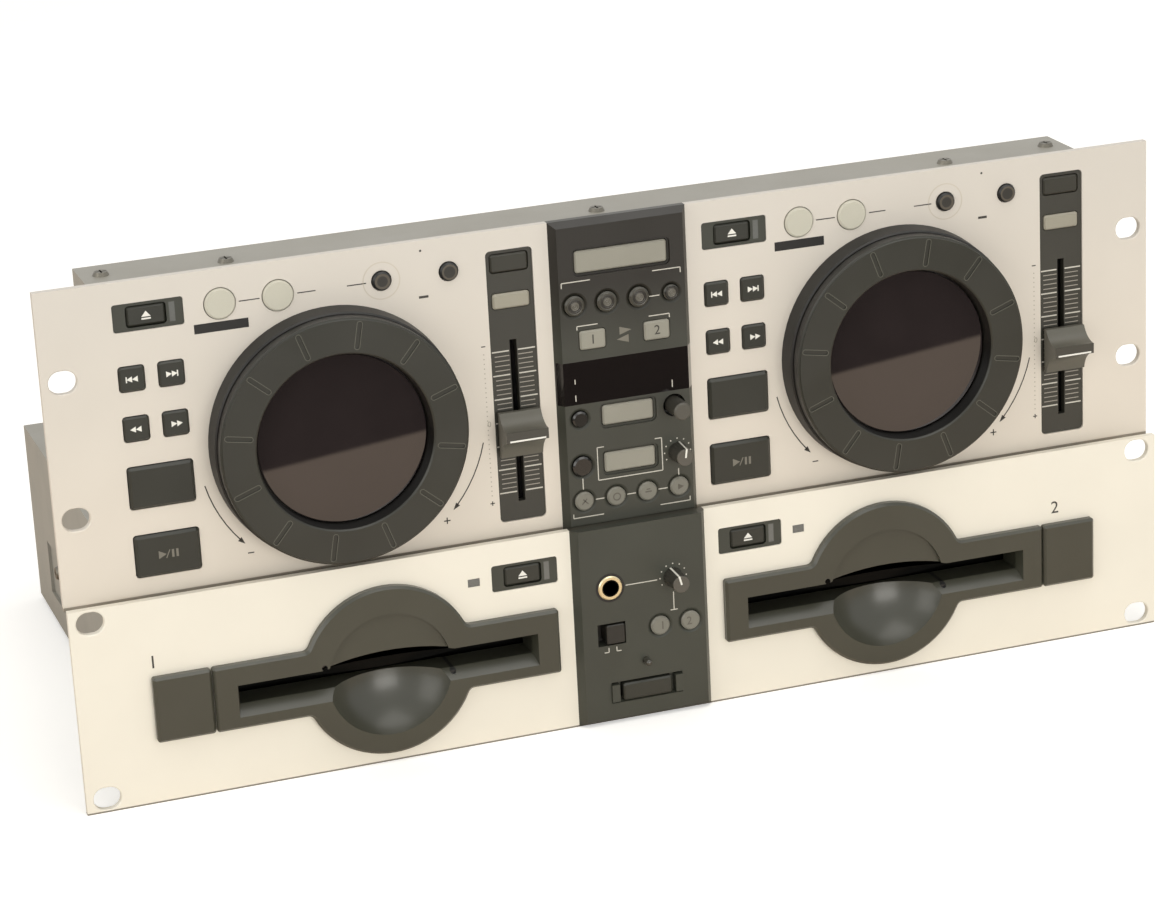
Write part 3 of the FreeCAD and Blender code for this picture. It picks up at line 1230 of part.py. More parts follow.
def end_block(side):
    """The plain block that carries the bezel on to the outer end."""
    x = side * (SLOT_X + BEZEL_WIDTH / 2 + END_BLOCK_GAP + END_BLOCK_WIDTH / 2)
    block = prism(PLAYER, x, SLOT_CENTRE_Z, END_BLOCK_WIDTH, BEZEL_HEIGHT, -BEZEL_PROUD, 0, KEY_CORNER)
    return bevel_front(block, PLAYER.front_y - BEZEL_PROUD, BEZEL_BEVEL)


def slot_bezels():
    """Both disc mouths and their end blocks."""
    sides = SIDES.values()
    return group([slot_bezel(side) for side in sides] + [end_block(side) for side in sides])


# ---------------------------------------------------------------- disc drives
def drive_sill(x):
    """The bowed sill that the disc rides in over, from the bezel back to the drive's base."""
    near = DRIVE_FRONT_DEPTH - DRIVE_SILL_REACH
    middle = (DRIVE_SILL_TOP_Z + DRIVE_SILL_BOTTOM_Z) / 2
    ends = [PLAYER.point(x - DRIVE_SILL_HALF, middle, near), PLAYER.point(x + DRIVE_SILL_HALF, middle, near)]
    lens = Part.Wire([Part.Arc(ends[0], PLAYER.point(x, DRIVE_SILL_TOP_Z, near), ends[1]).toShape(),
                      Part.Arc(ends[1], PLAYER.point(x, DRIVE_SILL_BOTTOM_Z, near), ends[0]).toShape()])
    return Part.Face(lens).extrude(V(0, DRIVE_SILL_REACH + DRIVE_SHEET, 0))


def drive_base(side):
    """A drive's tray: a deck with the turntable on it, walls down its sides, and four legs."""
    x = side * SLOT_X
    near = DRIVE_FRONT_DEPTH
    far = near + DRIVE_LENGTH
    height = DRIVE_DECK_Z - DRIVE_BASE_BOTTOM_Z
    tray = prism(PLAYER, x, DRIVE_BASE_BOTTOM_Z + height / 2, DRIVE_WIDTH, height, near, far)
    hollow_z = DRIVE_BASE_BOTTOM_Z + height / 2 - DRIVE_DECK_THICKNESS
    hollow = prism(PLAYER, x, hollow_z, DRIVE_WIDTH - 2 * DRIVE_SHEET,
                   height, near + DRIVE_SHEET, far - DRIVE_SHEET)
    disc_y = PLAYER.front_y + near + DRIVE_CAVITY_LENGTH / 2
    table = Part.makeCylinder(TURNTABLE_RADIUS, TURNTABLE_TOP_Z - DRIVE_DECK_Z, V(x, disc_y, DRIVE_DECK_Z))
    floor = CHASSIS_BOTTOM_Z + SHEET
    legs = []
    for sign in (-1, 1):
        for depth in (near + DRIVE_LEG_INSET, far - DRIVE_LEG_INSET):
            place = V(x + sign * (DRIVE_WIDTH / 2 - DRIVE_LEG_INSET), PLAYER.front_y + depth, floor)
            legs.append(Part.makeCylinder(DRIVE_LEG_RADIUS, DRIVE_DECK_Z - floor, place))
    return fuse(tray.cut(hollow), table, drive_sill(x), *legs)


def drive_cover(side):
    """A drive's roof and walls, which leave the disc's cavity open towards the mouth."""
    x = side * SLOT_X
    near = DRIVE_FRONT_DEPTH
    height = DRIVE_ROOF_Z + DRIVE_SHEET - DRIVE_DECK_Z
    block = prism(PLAYER, x, DRIVE_DECK_Z + height / 2, DRIVE_WIDTH, height, near, near + DRIVE_LENGTH)
    hollow = DRIVE_ROOF_Z - DRIVE_DECK_Z
    cavity = prism(PLAYER, x, DRIVE_DECK_Z + hollow / 2, DRIVE_CAVITY_WIDTH, hollow, near - 1,
                   near + DRIVE_CAVITY_LENGTH)
    return block.cut(cavity)


def disc_drives():
    """Both slot-loading drives."""
    return group([part(side) for side in SIDES.values() for part in (drive_base, drive_cover)])


# ---------------------------------------------------------------- rear sockets
@dataclass(frozen=True)
class Socket:
    """A socket in a rear wall: its place, its round or square body and how far it stands out."""

    unit: Unit
    x: float
    z: float
    wall_depth: float
    width: float
    height: float
    proud: float
    well_width: float
    well_height: float

    def bar(self, width, height, near, far):
        """A bar round the socket's axis from one depth behind the wall's face to another."""
        corner = height / 2 if width == height else KEY_CORNER
        return prism(self.unit, self.x, self.z, width, height,
                     self.wall_depth + near, self.wall_depth + far, corner)

    def hole(self):
        """The opening in the wall."""
        return self.bar(self.width + 2 * POCKET_FIT, self.height + 2 * POCKET_FIT, -2 * SHEET, SHEET)

    def solid(self):
        """The body through the wall with its flange on the outside and its well."""
        body = self.bar(self.width, self.height, -SOCKET_BODY_DEPTH, self.proud)
        flange = self.bar(self.width + 2 * SOCKET_FLANGE, self.height + 2 * SOCKET_FLANGE, 0, SOCKET_FLANGE)
        well = self.bar(self.well_width, self.well_height, self.proud - SOCKET_WELL_DEPTH, self.proud + 1)
        return fuse(body, flange).cut(well)


def link_sockets(unit):
    """The round multi-pin sockets that link the desk to the player, on either unit."""
    depth = CONTROL_CASE_DEPTH if unit is CONTROL else PLAYER_CASE_DEPTH
    z = LINK_SOCKET_CONTROL_Z if unit is CONTROL else SOCKET_Z
    width = 2 * LINK_SOCKET_RADIUS
    well = width - 2 * SOCKET_FLANGE
    return [Socket(unit, LINK_SOCKET_X + step * LINK_SOCKET_PITCH, z, depth, width, width,
                   SOCKET_FLANGE, well, well)
            for step in (0, 1)]


def rear_openings():
    """Every socket of the player's rear wall."""
    sockets = link_sockets(PLAYER)
    well = 2 * PHONO_BORE_RADIUS
    for column in (0, 1):
        for row in (0, 1):
            z = SOCKET_Z + (row - 0.5) * PHONO_PITCH
            sockets.append(Socket(PLAYER, PHONO_X + column * PHONO_PITCH, z, PLAYER_CASE_DEPTH,
                                  2 * PHONO_RADIUS, 2 * PHONO_RADIUS, PHONO_PROUD, well, well))
    sockets.append(Socket(PLAYER, INLET_X, SOCKET_Z, PLAYER_CASE_DEPTH,
                          INLET_WIDTH, INLET_HEIGHT, SOCKET_FLANGE,
                          INLET_WIDTH - 2 * INLET_WALL, INLET_HEIGHT - 2 * INLET_WALL))
    return sockets


def rear_sockets():
    """All the sockets of both units."""
    return group(socket.solid() for socket in link_sockets(CONTROL) + rear_openings())


# ---------------------------------------------------------------- boards inside
def tact_switch(unit, x, z):
    """A key switch on the front of a board, under the stem of its key."""
    body = prism(unit, x, z, SWITCH_SIDE, SWITCH_SIDE, BOARD_DEPTH - SWITCH_HEIGHT, BOARD_DEPTH)
    plunger = rod(unit, x, z, PLUNGER_RADIUS, BOARD_DEPTH - SWITCH_HEIGHT - PLUNGER_HEIGHT,
                  BOARD_DEPTH - SWITCH_HEIGHT)
    return fuse(body, plunger)


def desk_posts():
    """The places of the posts that hold the desk's board off its panel."""
    outer = (FADER_DX - FADER_BED_WIDTH / 2 - 3 * POST_RADIUS,
             KEY_COLUMN_DX + CUE_KEY_WIDTH / 2 + 3 * POST_RADIUS)
    return [(deck_x + dx, z) for deck_x in DECKS.values() for dx in outer for z in (POST_LOW_Z, POST_HIGH_Z)]


def circuit_boards():
    """The desk's board with its switches, displays and fader tracks, and the player's boards."""
    middle = CONTROL.height / 2
    back = BOARD_DEPTH + BOARD_THICKNESS
    solids = [prism(CONTROL, 0, middle, CONTROL_BOARD_WIDTH, CONTROL_CASE_TOP_Z - 2 * CONTROL_BOARD_MARGIN,
                    BOARD_DEPTH, back)]
    for deck_x in DECKS.values():
        display_near = -JOG_HUB_HEIGHT + DISPLAY_GAP
        solids.append(rod(CONTROL, deck_x, JOG_Z, DISPLAY_RADIUS, display_near, BOARD_DEPTH))
        solids.append(fader_track(deck_x))
        for caps in [*deck_caps(deck_x).values(), tempo_caps(deck_x)]:
            solids += [tact_switch(CONTROL, cap.x, cap.z) for cap in caps]
    for caps in console_caps().values():
        solids += [tact_switch(CONTROL, cap.x, cap.z) for cap in caps]
    solids += [tact_switch(CONTROL, ENCODER_X, SYNC_Z), encoder_body()]
    solids += [rod(CONTROL, x, z, POST_RADIUS, PANEL_THICKNESS, BOARD_DEPTH) for x, z in desk_posts()]
    return group(solids + player_boards())


def player_boards():
    """The small board behind the player's panel, its main board and its power supply."""
    back = BOARD_DEPTH + BOARD_THICKNESS
    half = DISC_LENS_X + DISC_LENS_WIDTH / 2
    split = PLAYER_EJECT_Z - POCKET_HEIGHT
    top = PLAYER_EJECT_Z + POCKET_HEIGHT / 2
    front = fuse(prism(PLAYER, 0, (CONTROL_BOARD_MARGIN + split) / 2, CONSOLE_FRONT_WIDTH,
                       split - CONTROL_BOARD_MARGIN, BOARD_DEPTH, back),
                 prism(PLAYER, 0, (split + top) / 2, 2 * half, top - split, BOARD_DEPTH, back))
    jack_side = JACK_BODY_SIDE + 1
    jack_gap = prism(PLAYER, JACK_X, JACK_Z, jack_side, jack_side, BOARD_DEPTH - 1, back + 1)
    solids = [front.cut(jack_gap)]
    caps = [*monitor_caps(), power_cap()]
    caps += [eject_cap(side * PLAYER_EJECT_X, PLAYER_EJECT_Z) for side in SIDES.values()]
    solids += [tact_switch(PLAYER, cap.x, cap.z) for cap in caps]
    solids += [tact_switch(CONTROL, eject_cap(x + EJECT_DX, EJECT_Z).x, EJECT_Z) for x in DECKS.values()]
    post_x = DISC_LENS_X - POST_RADIUS
    solids += [rod(PLAYER, side * post_x, split + 2 * POST_RADIUS, POST_RADIUS, PANEL_THICKNESS, BOARD_DEPTH)
               for side in SIDES.values()]
    floor = CHASSIS_BOTTOM_Z + SHEET
    rear_y = PLAYER.front_y + PLAYER_CASE_DEPTH - REAR_CLEAR_DEPTH
    board_y = rear_y - MAIN_BOARD_LENGTH
    solids.append(Part.makeBox(MAIN_BOARD_WIDTH, MAIN_BOARD_LENGTH, BOARD_THICKNESS,
                               V(MAIN_BOARD_X - MAIN_BOARD_WIDTH / 2, board_y, floor + MAIN_BOARD_LIFT)))
    for sign in (-1, 1):
        for y in (board_y + 2 * POST_RADIUS, rear_y - 2 * POST_RADIUS):
            x = MAIN_BOARD_X + sign * (MAIN_BOARD_WIDTH / 2 - 2 * POST_RADIUS)
            solids.append(Part.makeCylinder(POST_RADIUS, MAIN_BOARD_LIFT, V(x, y, floor)))
    solids.append(Part.makeBox(SUPPLY_WIDTH, SUPPLY_LENGTH, SUPPLY_HEIGHT,
                               V(SUPPLY_X - SUPPLY_WIDTH / 2, rear_y - SUPPLY_LENGTH, floor)))
    return solids


def indicator_lenses():
    """The lens bars of the pockets, the disc indicators and the stand-by lamp."""
    bars = [lens_bar(unit, x, z) for _, unit, x, z in pocket_places()]
    return group(bars + [disc_lens(side * DISC_LENS_X) for side in SIDES.values()] + [power_led()])


# ---------------------------------------------------------------- the whole machine
def static_nodes():
    """The pieces that stay put, by node name."""
    return {
        "control_panel": control_panel(),
        "control_back_cover": control_back_cover(),
        "control_end_caps": control_end_caps(),
        "control_console": control_console(),
        "smoked_windows": group([jog_window(x) for x in DECKS.values()] + [display_band()]),
        "jog_bases": group(jog_base(x) for x in DECKS.values()),
        "fader_beds": group(fader_bed(x) for x in DECKS.values()),
        "eject_pockets": group(eject_pocket(unit, x, z) for _, unit, x, z in pocket_places()),
        "indicator_lenses": indicator_lenses(),
        "circuit_boards": circuit_boards(),
        "player_panel": player_panel(),
        "player_chassis": player_chassis(),
        "player_top_cover": player_top_cover(),
        "slot_bezels": slot_bezels(),
        "player_console": player_console(),
        "phones_jack": phones_jack(),
        "disc_drives": disc_drives(),
        "rear_sockets": rear_sockets(),
        "case_screws": case_screws(),
    }


def moving_nodes():
    """The pieces that turn, slide or are pushed, by node name."""
    nodes = {}
    for deck, deck_x in DECKS.items():
        nodes["jog_wheel_%d" % deck] = jog_wheel(deck_x, JOG_REST_TURNS[deck])
        nodes["tempo_fader_%d" % deck] = tempo_fader(deck_x)
        nodes["tempo_keys_%d" % deck] = key(CONTROL, tempo_caps(deck_x), FADER_BED_SINK, FADER_SEAT)
        for name, caps in deck_caps(deck_x).items():
            nodes["%s_%d" % (name, deck)] = key(CONTROL, caps)
    for name, unit, x, z in pocket_places():
        nodes[name] = key(unit, [eject_cap(x, z)], POCKET_SINK, POCKET_SEAT)
    for name, caps in console_caps().items():
        sunk = AUTO_MIX_RECESS if caps[0].height and caps[0].width > SELECT_WIDTH else 0
        nodes[name] = key(CONTROL, caps, sunk - CONSOLE_PROUD)
    nodes["mix_time_knob"] = knob(CONTROL, OUTER_COLUMN_X, SHORT_TIME_Z, MIX_KNOB_PROUD, MIX_KNOB_TURN)
    nodes["encoder_plunger"] = encoder_plunger()
    nodes["encoder_knob"] = encoder_knob()
    nodes["monitor_knob"] = knob(PLAYER, MONITOR_KNOB_X, MONITOR_KNOB_Z, MONITOR_KNOB_PROUD,
                                 MONITOR_KNOB_TURN)
    nodes["monitor_select_keys"] = key(PLAYER, monitor_caps(), -CONSOLE_PROUD)
    nodes["power_key"] = key(PLAYER, [power_cap()], POWER_RECESS_DEPTH - CONSOLE_PROUD)
    nodes["output_switch"] = output_switch()
    return nodes


def main():
    """Builds every node and writes it to its own STEP file."""
    os.makedirs("parts", exist_ok=True)
    nodes = {**static_nodes(), **moving_nodes()}
    for name, shape in nodes.items():
        shape.exportStep("parts/%s.step" % name)
        counts = (name, len(shape.Solids), len(shape.Faces), shape.isValid())
        print("%-22s solids %3d  faces %4d  valid %s" % counts)
    print(len(nodes), "nodes")


main()
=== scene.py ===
"""Dresses the twin disc player: its finishes, its printed marks, the studio and the camera.

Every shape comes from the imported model. This script gives each piece a finish that is worked out
from its own Object coordinates, lays the printed marks on the faces that carry them, and sets a
soft white studio round it. Sizes in the classes are in millimetres, and places on a front are
given as x from its middle and z from its lower edge.
"""
import logging
import math
from dataclasses import dataclass, field
from enum import Enum

import bmesh
import bpy
from mathutils import Matrix, Vector


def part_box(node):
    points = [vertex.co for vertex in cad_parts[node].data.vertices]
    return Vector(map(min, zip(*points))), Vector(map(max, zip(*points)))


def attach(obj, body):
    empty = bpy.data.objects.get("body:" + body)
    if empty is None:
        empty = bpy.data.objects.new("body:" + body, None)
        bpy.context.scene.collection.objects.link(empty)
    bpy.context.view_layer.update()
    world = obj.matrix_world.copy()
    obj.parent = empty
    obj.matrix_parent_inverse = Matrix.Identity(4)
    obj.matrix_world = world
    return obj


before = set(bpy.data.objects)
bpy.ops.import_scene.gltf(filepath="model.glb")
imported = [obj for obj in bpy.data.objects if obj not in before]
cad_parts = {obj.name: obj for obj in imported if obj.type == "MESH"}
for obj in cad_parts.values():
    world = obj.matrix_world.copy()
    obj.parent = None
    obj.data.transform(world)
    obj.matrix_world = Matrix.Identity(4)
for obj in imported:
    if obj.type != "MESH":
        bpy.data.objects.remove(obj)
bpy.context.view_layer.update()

LOG = logging.getLogger("twin_player")
MM = 0.001
ROOT_BODY = "machine"
DECK_CENTRES = {1: -123.75, 2: 123.75}
WHEEL_TURNS = {1: 10.5, 2: 10.0}
CONTROL_BASE = 85.9
CONTROL_FRONT = -117.75
PLAYER_FRONT = -125.85
CONSOLE_STEP = 3.8
MADE: dict[str, bpy.types.Material] = {}

Spot = tuple[float, float]
Triple = tuple[float, float, float]
Quad = tuple[float, float, float, float]
Paths = tuple[tuple[Spot, ...], ...]
Socket = bpy.types.NodeSocket

# the curve between a display colour and linear light
TOE_END = 0.04045
TOE_SLOPE = 12.92
TINT_OFFSET = 0.055
TINT_POWER = 2.4

# what every finish shares: the sizes of its slow patterns, and how far they move its values
DRIFT_SIZE = 38.0
WEAR_SIZE = 21.0
FLECK_SHARE = 0.35
WEAR_LOW = 0.88
WEAR_HIGH = 1.14
LINE_SWING = 0.25
RING_RELIEF = 0.05


class Axis(Enum):
    """An axis of the row frame, as the output of a Separate XYZ node that carries it."""

    X = "X"
    Y = "Y"
    Z = "Z"


def linear(tint: Triple) -> Quad:
    """Turns a display colour into the linear colour that a shader takes.

    Args:
        tint: Red, green and blue as a screen shows them, from 0 to 255.

    Returns:
        The same colour in linear light, with an alpha of 1.
    """
    parts = []
    for value in tint:
        share = value / 255.0
        curved = ((share + TINT_OFFSET) / (1.0 + TINT_OFFSET)) ** TINT_POWER
        parts.append(share / TOE_SLOPE if share <= TOE_END else curved)
    return (parts[0], parts[1], parts[2], 1.0)


def placed(name: str, data: bpy.types.ID) -> bpy.types.Object:
    """Makes an object and links it into the scene.

    Args:
        name: The object's name.
        data: Its mesh, curve, lamp or camera.

    Returns:
        The object, at the origin.
    """
    thing = bpy.data.objects.new(name, data)
    bpy.context.scene.collection.objects.link(thing)
    return thing


# ------------------------------------------------------------------------------ finishes
class NodeBench:
    """Adds and links the nodes of one tree, so that each finish reads as a short recipe."""

    def __init__(self, owner: bpy.types.Material | bpy.types.World, end: str) -> None:
        """Empties the owner's tree and adds its output.

        Args:
            owner: The material or world whose tree it is.
            end: The output node's type name.
        """
        owner.use_nodes = True
        self.tree = owner.node_tree
        self.tree.nodes.clear()
        self.output = self.add(end)

    def add(self, kind: str, **settings: object) -> bpy.types.Node:
        """Adds a node.

        Args:
            kind: The node's type name.
            **settings: Properties to set on the node.

        Returns:
            The new node.
        """
        node = self.tree.nodes.new(kind)
        for name, value in settings.items():
            setattr(node, name, value)
        return node

    def link(self, source: Socket, target: Socket) -> None:
        """Joins an output to an input."""
        self.tree.links.new(source, target)

    def math(self, operation: str, first: Socket, second: float | Socket) -> Socket:
        """Works out a sum on one socket.

        Args:
            operation: The Math node's operation.
            first: The value to start from.
            second: The other value, as a number or another socket.

        Returns:
            The result's socket.
        """
        node = self.add("ShaderNodeMath", operation=operation)
        self.link(first, node.inputs[0])
        if isinstance(second, (int, float)):
            node.inputs[1].default_value = second
        else:
            self.link(second, node.inputs[1])
        return node.outputs[0]


class SurfaceBench(NodeBench):
    """Adds what a material is worked out with, all of it from the Object coordinate."""

    def __init__(self, name: str) -> None:
        """Starts an empty material with an output and an Object coordinate.

        Args:
            name: The material's name.
        """
        self.material = bpy.data.materials.new(name)
        super().__init__(self.material, "ShaderNodeOutputMaterial")
        self.place = self.add("ShaderNodeTexCoord").outputs["Object"]

    def stretched(self, scale: Triple) -> Socket:
        """Scales the Object coordinate, for a pattern that is longer one way.

        Args:
            scale: The scale along each axis.

        Returns:
            The scaled coordinate.
        """
        node = self.add("ShaderNodeMapping")
        node.inputs["Scale"].default_value = scale
        self.link(self.place, node.inputs["Vector"])
        return node.outputs["Vector"]

    def noise(self, size: float, detail: float = 2.0, place: Socket | None = None) -> Socket:
        """Adds a noise whose features are about one size.

        Args:
            size: The size of a feature in millimetres.
            detail: How many finer layers the noise has.
            place: The coordinate to read, if not the plain one.

        Returns:
            The noise from 0 to 1.
        """
        node = self.add("ShaderNodeTexNoise")
        node.inputs["Scale"].default_value = 1.0 / (size * MM)
        node.inputs["Detail"].default_value = detail
        self.link(place or self.place, node.inputs["Vector"])
        return node.outputs["Fac"]

    def ranged(self, value: Socket, low: float, high: float,
               start: float = 0.25, end: float = 0.75) -> Socket:
        """Maps a value onto a range.

        Args:
            value: The value to map.
            low: The result at start.
            high: The result at end.
            start: The value that gives low.
            end: The value that gives high.

        Returns:
            The mapped value.
        """
        node = self.add("ShaderNodeMapRange")
        self.link(value, node.inputs["Value"])
        node.inputs["From Min"].default_value = start
        node.inputs["From Max"].default_value = end
        node.inputs["To Min"].default_value = low
        node.inputs["To Max"].default_value = high
        return node.outputs["Result"]

    def blend(self, share: Socket, first: Triple | Socket, second: Triple | Socket) -> Socket:
        """Blends two colours.

        Args:
            share: How much of the second colour there is.
            first: A display colour or a colour socket.
            second: A display colour or a colour socket.

        Returns:
            The blended colour.
        """
        node = self.add("ShaderNodeMix", data_type="RGBA")
        self.link(share, node.inputs["Factor"])
        for socket, colour in ((node.inputs["A"], first), (node.inputs["B"], second)):
            if isinstance(colour, tuple):
                socket.default_value = linear(colour)
            else:
                self.link(colour, socket)
        return node.outputs["Result"]

    def axes(self) -> dict[Axis, Socket]:
        """Splits the Object coordinate into its three axes.

        Returns:
            The coordinate along each axis, in metres.
        """
        parts = self.add("ShaderNodeSeparateXYZ")
        self.link(self.place, parts.inputs["Vector"])
        return {axis: parts.outputs[axis.value] for axis in Axis}

    def distance(self, x: float, z: float) -> Socket:
        """Works out the distance to an axis that runs front to back.

        Args:
            x: The axis's place along X, in millimetres.
            z: Its place along Z, in millimetres.

        Returns:
            The distance in metres.
        """
        reach = self.place
        for operation, value in (("SUBTRACT", (x * MM, 0.0, z * MM)), ("MULTIPLY", (1.0, 0.0, 1.0))):
            node = self.add("ShaderNodeVectorMath", operation=operation)
            node.inputs[1].default_value = value
            self.link(reach, node.inputs[0])
            reach = node.outputs["Vector"]
        length = self.add("ShaderNodeVectorMath", operation="LENGTH")
        self.link(reach, length.inputs[0])
        return length.outputs["Value"]

    def bump(self, height: Socket, depth: float) -> Socket:
        """Turns a height into a bumped normal.

        Args:
            height: The height from 0 to 1.
            depth: How deep 1 is, in millimetres.

        Returns:
            The normal.
        """
        node = self.add("ShaderNodeBump")
        node.inputs["Distance"].default_value = depth * MM
        self.link(height, node.inputs["Height"])
        return node.outputs["Normal"]


@dataclass(frozen=True)
class Finish:
    """A painted or moulded surface, with a fine grain and a slow drift in its tint.

    Attributes:
        name: The material's name.
        tint: The display colour.
        roughness: The middle roughness.
        metallic: How much of a metal it is.
        grain: The size of the grain in millimetres.
        relief: How deep the grain is in millimetres.
        drift: How far the tint drifts, as a share of it.
        coat: The weight of a clear coat.
        coat_roughness: The roughness of that coat.
    """

    name: str
    tint: Triple
    roughness: float = 0.45
    metallic: float = 0.0
    grain: float = 0.35
    relief: float = 0.006
    drift: float = 0.05
    coat: float = 0.0
    coat_roughness: float = 0.1

    def lighter(self, share: float) -> Triple:
        """The tint moved up or down by a share of itself."""
        return tuple(max(0.0, min(255.0, part * (1.0 + share))) for part in self.tint)

    def colour(self, bench: SurfaceBench) -> Socket:
        """Works out the colour: the tint, drifting slowly and flecked finely.

        Args:
            bench: The material being made.

        Returns:
            The colour's socket.
        """
        slow = bench.ranged(bench.noise(DRIFT_SIZE, 3.0), 0.0, 1.0, 0.3, 0.7)
        drifted = bench.blend(slow, self.lighter(-self.drift), self.lighter(self.drift))
        fleck = bench.ranged(bench.noise(self.grain), 0.0, FLECK_SHARE, 0.4, 0.75)
        return bench.blend(fleck, drifted, self.lighter(-2.0 * self.drift))

    def normal(self, bench: SurfaceBench) -> Socket:
        """Works out the normal: the grain's bump."""
        return bench.bump(bench.noise(self.grain, 3.0), self.relief)

    def rough(self, bench: SurfaceBench) -> Socket:
        """Works out the roughness: its middle value, drifting over the surface."""
        return bench.ranged(bench.noise(WEAR_SIZE, 4.0), self.roughness * WEAR_LOW,
                            self.roughness * WEAR_HIGH)

    def make(self) -> bpy.types.Material:
        """Makes the material, or gives the one already made.

        Returns:
            The material.
        """
        if self.name in MADE:
            return MADE[self.name]
        bench = SurfaceBench(self.name)
        MADE[self.name] = bench.material
        shader = bench.add("ShaderNodeBsdfPrincipled")
        shader.inputs["Metallic"].default_value = self.metallic
        shader.inputs["Coat Weight"].default_value = self.coat
        shader.inputs["Coat Roughness"].default_value = self.coat_roughness
        bench.link(self.colour(bench), shader.inputs["Base Color"])
        bench.link(self.rough(bench), shader.inputs["Roughness"])
        bench.link(self.normal(bench), shader.inputs["Normal"])
        bench.link(shader.outputs["BSDF"], bench.output.inputs["Surface"])
        return bench.material


@dataclass(frozen=True)
class Zone:
    """A part of a piece that wears a tint of its own.

    Attributes:
        tint: The display colour inside the zone.
    """

    tint: Triple

    def share(self, bench: SurfaceBench, place: dict[Axis, Socket]) -> Socket:
        """Works out where the zone is.

        Args:
            bench: The material being made.
            place: The Object coordinate along each axis, in metres.

        Returns:
            1 inside the zone and 0 outside it.
        """
        raise NotImplementedError


@dataclass(frozen=True)
class BoxZone(Zone):
    """A zone between planes that stand across the axes.

    Attributes:
        over: For each axis that has one, the value that the zone starts at, in millimetres.
        under: For each axis that has one, the value that it ends at, in millimetres.
    """

    over: tuple[tuple[Axis, float], ...] = ()
    under: tuple[tuple[Axis, float], ...] = ()

    def share(self, bench: SurfaceBench, place: dict[Axis, Socket]) -> Socket:
        """Works out where the zone is, as the product of one test for each plane.

        Args:
            bench: The material being made.
            place: The Object coordinate along each axis, in metres.

        Returns:
            1 inside the zone and 0 outside it.
        """
        total = None
        for operation, planes in (("GREATER_THAN", self.over), ("LESS_THAN", self.under)):
            for axis, bound in planes:
                test = bench.math(operation, place[axis], bound * MM)
                total = test if total is None else bench.math("MULTIPLY", total, test)
        return total


@dataclass(frozen=True)
class FadeZone(Zone):
    """A zone that fades in with height.

    Attributes:
        start: The height where it begins to show, in millimetres.
        full: The height where it has its whole tint, in millimetres.
    """

    start: float = 0.0
    full: float = 1.0

    def share(self, bench: SurfaceBench, place: dict[Axis, Socket]) -> Socket:
        """Works out how far the zone has faded in."""
        return bench.ranged(place[Axis.Z], 0.0, 1.0, self.start * MM, self.full * MM)


@dataclass(frozen=True)
class RingZone(Zone):
    """A zone between two radii about an axis that runs front to back.

    Attributes:
        x: The axis's place along X, in millimetres.
        z: Its place along Z, in millimetres.
        inner: The radius that the zone starts at, in millimetres.
        outer: The radius that it ends at, in millimetres.
    """

    x: float = 0.0
    z: float = 0.0
    inner: float = 0.0
    outer: float = 1.0

    def share(self, bench: SurfaceBench, place: dict[Axis, Socket]) -> Socket:
        """Works out where the zone is, from the distance to its axis.

        Args:
            bench: The material being made.
            place: The Object coordinate along each axis, in metres.

        Returns:
            1 inside the zone and 0 outside it.
        """
        radius = bench.distance(self.x, self.z)
        inside = bench.math("LESS_THAN", radius, self.outer * MM)
        if self.inner <= 0.0:
            return inside
        return bench.math("MULTIPLY", inside, bench.math("GREATER_THAN", radius, self.inner * MM))


@dataclass(frozen=True)
class StripeZone(Zone):
    """A stripe that runs out from an axis which goes front to back, as on a knob's pointer.

    Attributes:
        x: The axis's place along X, in millimetres.
        z: Its place along Z, in millimetres.
        turn: Which way the stripe runs, in degrees clockwise from straight up.
        breadth: The stripe's width in millimetres.
    """

    x: float = 0.0
    z: float = 0.0
    turn: float = 0.0
    breadth: float = 0.8

    def share(self, bench: SurfaceBench, place: dict[Axis, Socket]) -> Socket:
        """Works out where the zone is, from the distances along and across the stripe.

        Args:
            bench: The material being made.
            place: The Object coordinate along each axis, in metres.

        Returns:
            1 inside the zone and 0 outside it.
        """
        right, up = math.sin(math.radians(self.turn)), math.cos(math.radians(self.turn))
        dx = bench.math("SUBTRACT", place[Axis.X], self.x * MM)
        dz = bench.math("SUBTRACT", place[Axis.Z], self.z * MM)
        along = bench.math("ADD", bench.math("MULTIPLY", dx, right), bench.math("MULTIPLY", dz, up))
        across = bench.math("SUBTRACT", bench.math("MULTIPLY", dx, up), bench.math("MULTIPLY", dz, right))
        slim = bench.math("LESS_THAN", bench.math("ABSOLUTE", across, 0.0), self.breadth / 2 * MM)
        return bench.math("MULTIPLY", slim, bench.math("GREATER_THAN", along, 0.0))


@dataclass(frozen=True)
class ZonedFinish(Finish):
    """A finish with zones of other tints, each laid over the ones before it.

    Attributes:
        zones: The zones, from the lowest to the topmost.
    """

    zones: tuple[Zone, ...] = ()

    def colour(self, bench: SurfaceBench) -> Socket:
        """Works out the colour: the drifting tint, and then each zone's.

        Args:
            bench: The material being made.

        Returns:
            The colour's socket.
        """
        result = super().colour(bench)
        place = bench.axes()
        for zone in self.zones:
            result = bench.blend(zone.share(bench, place), result, zone.tint)
        return result


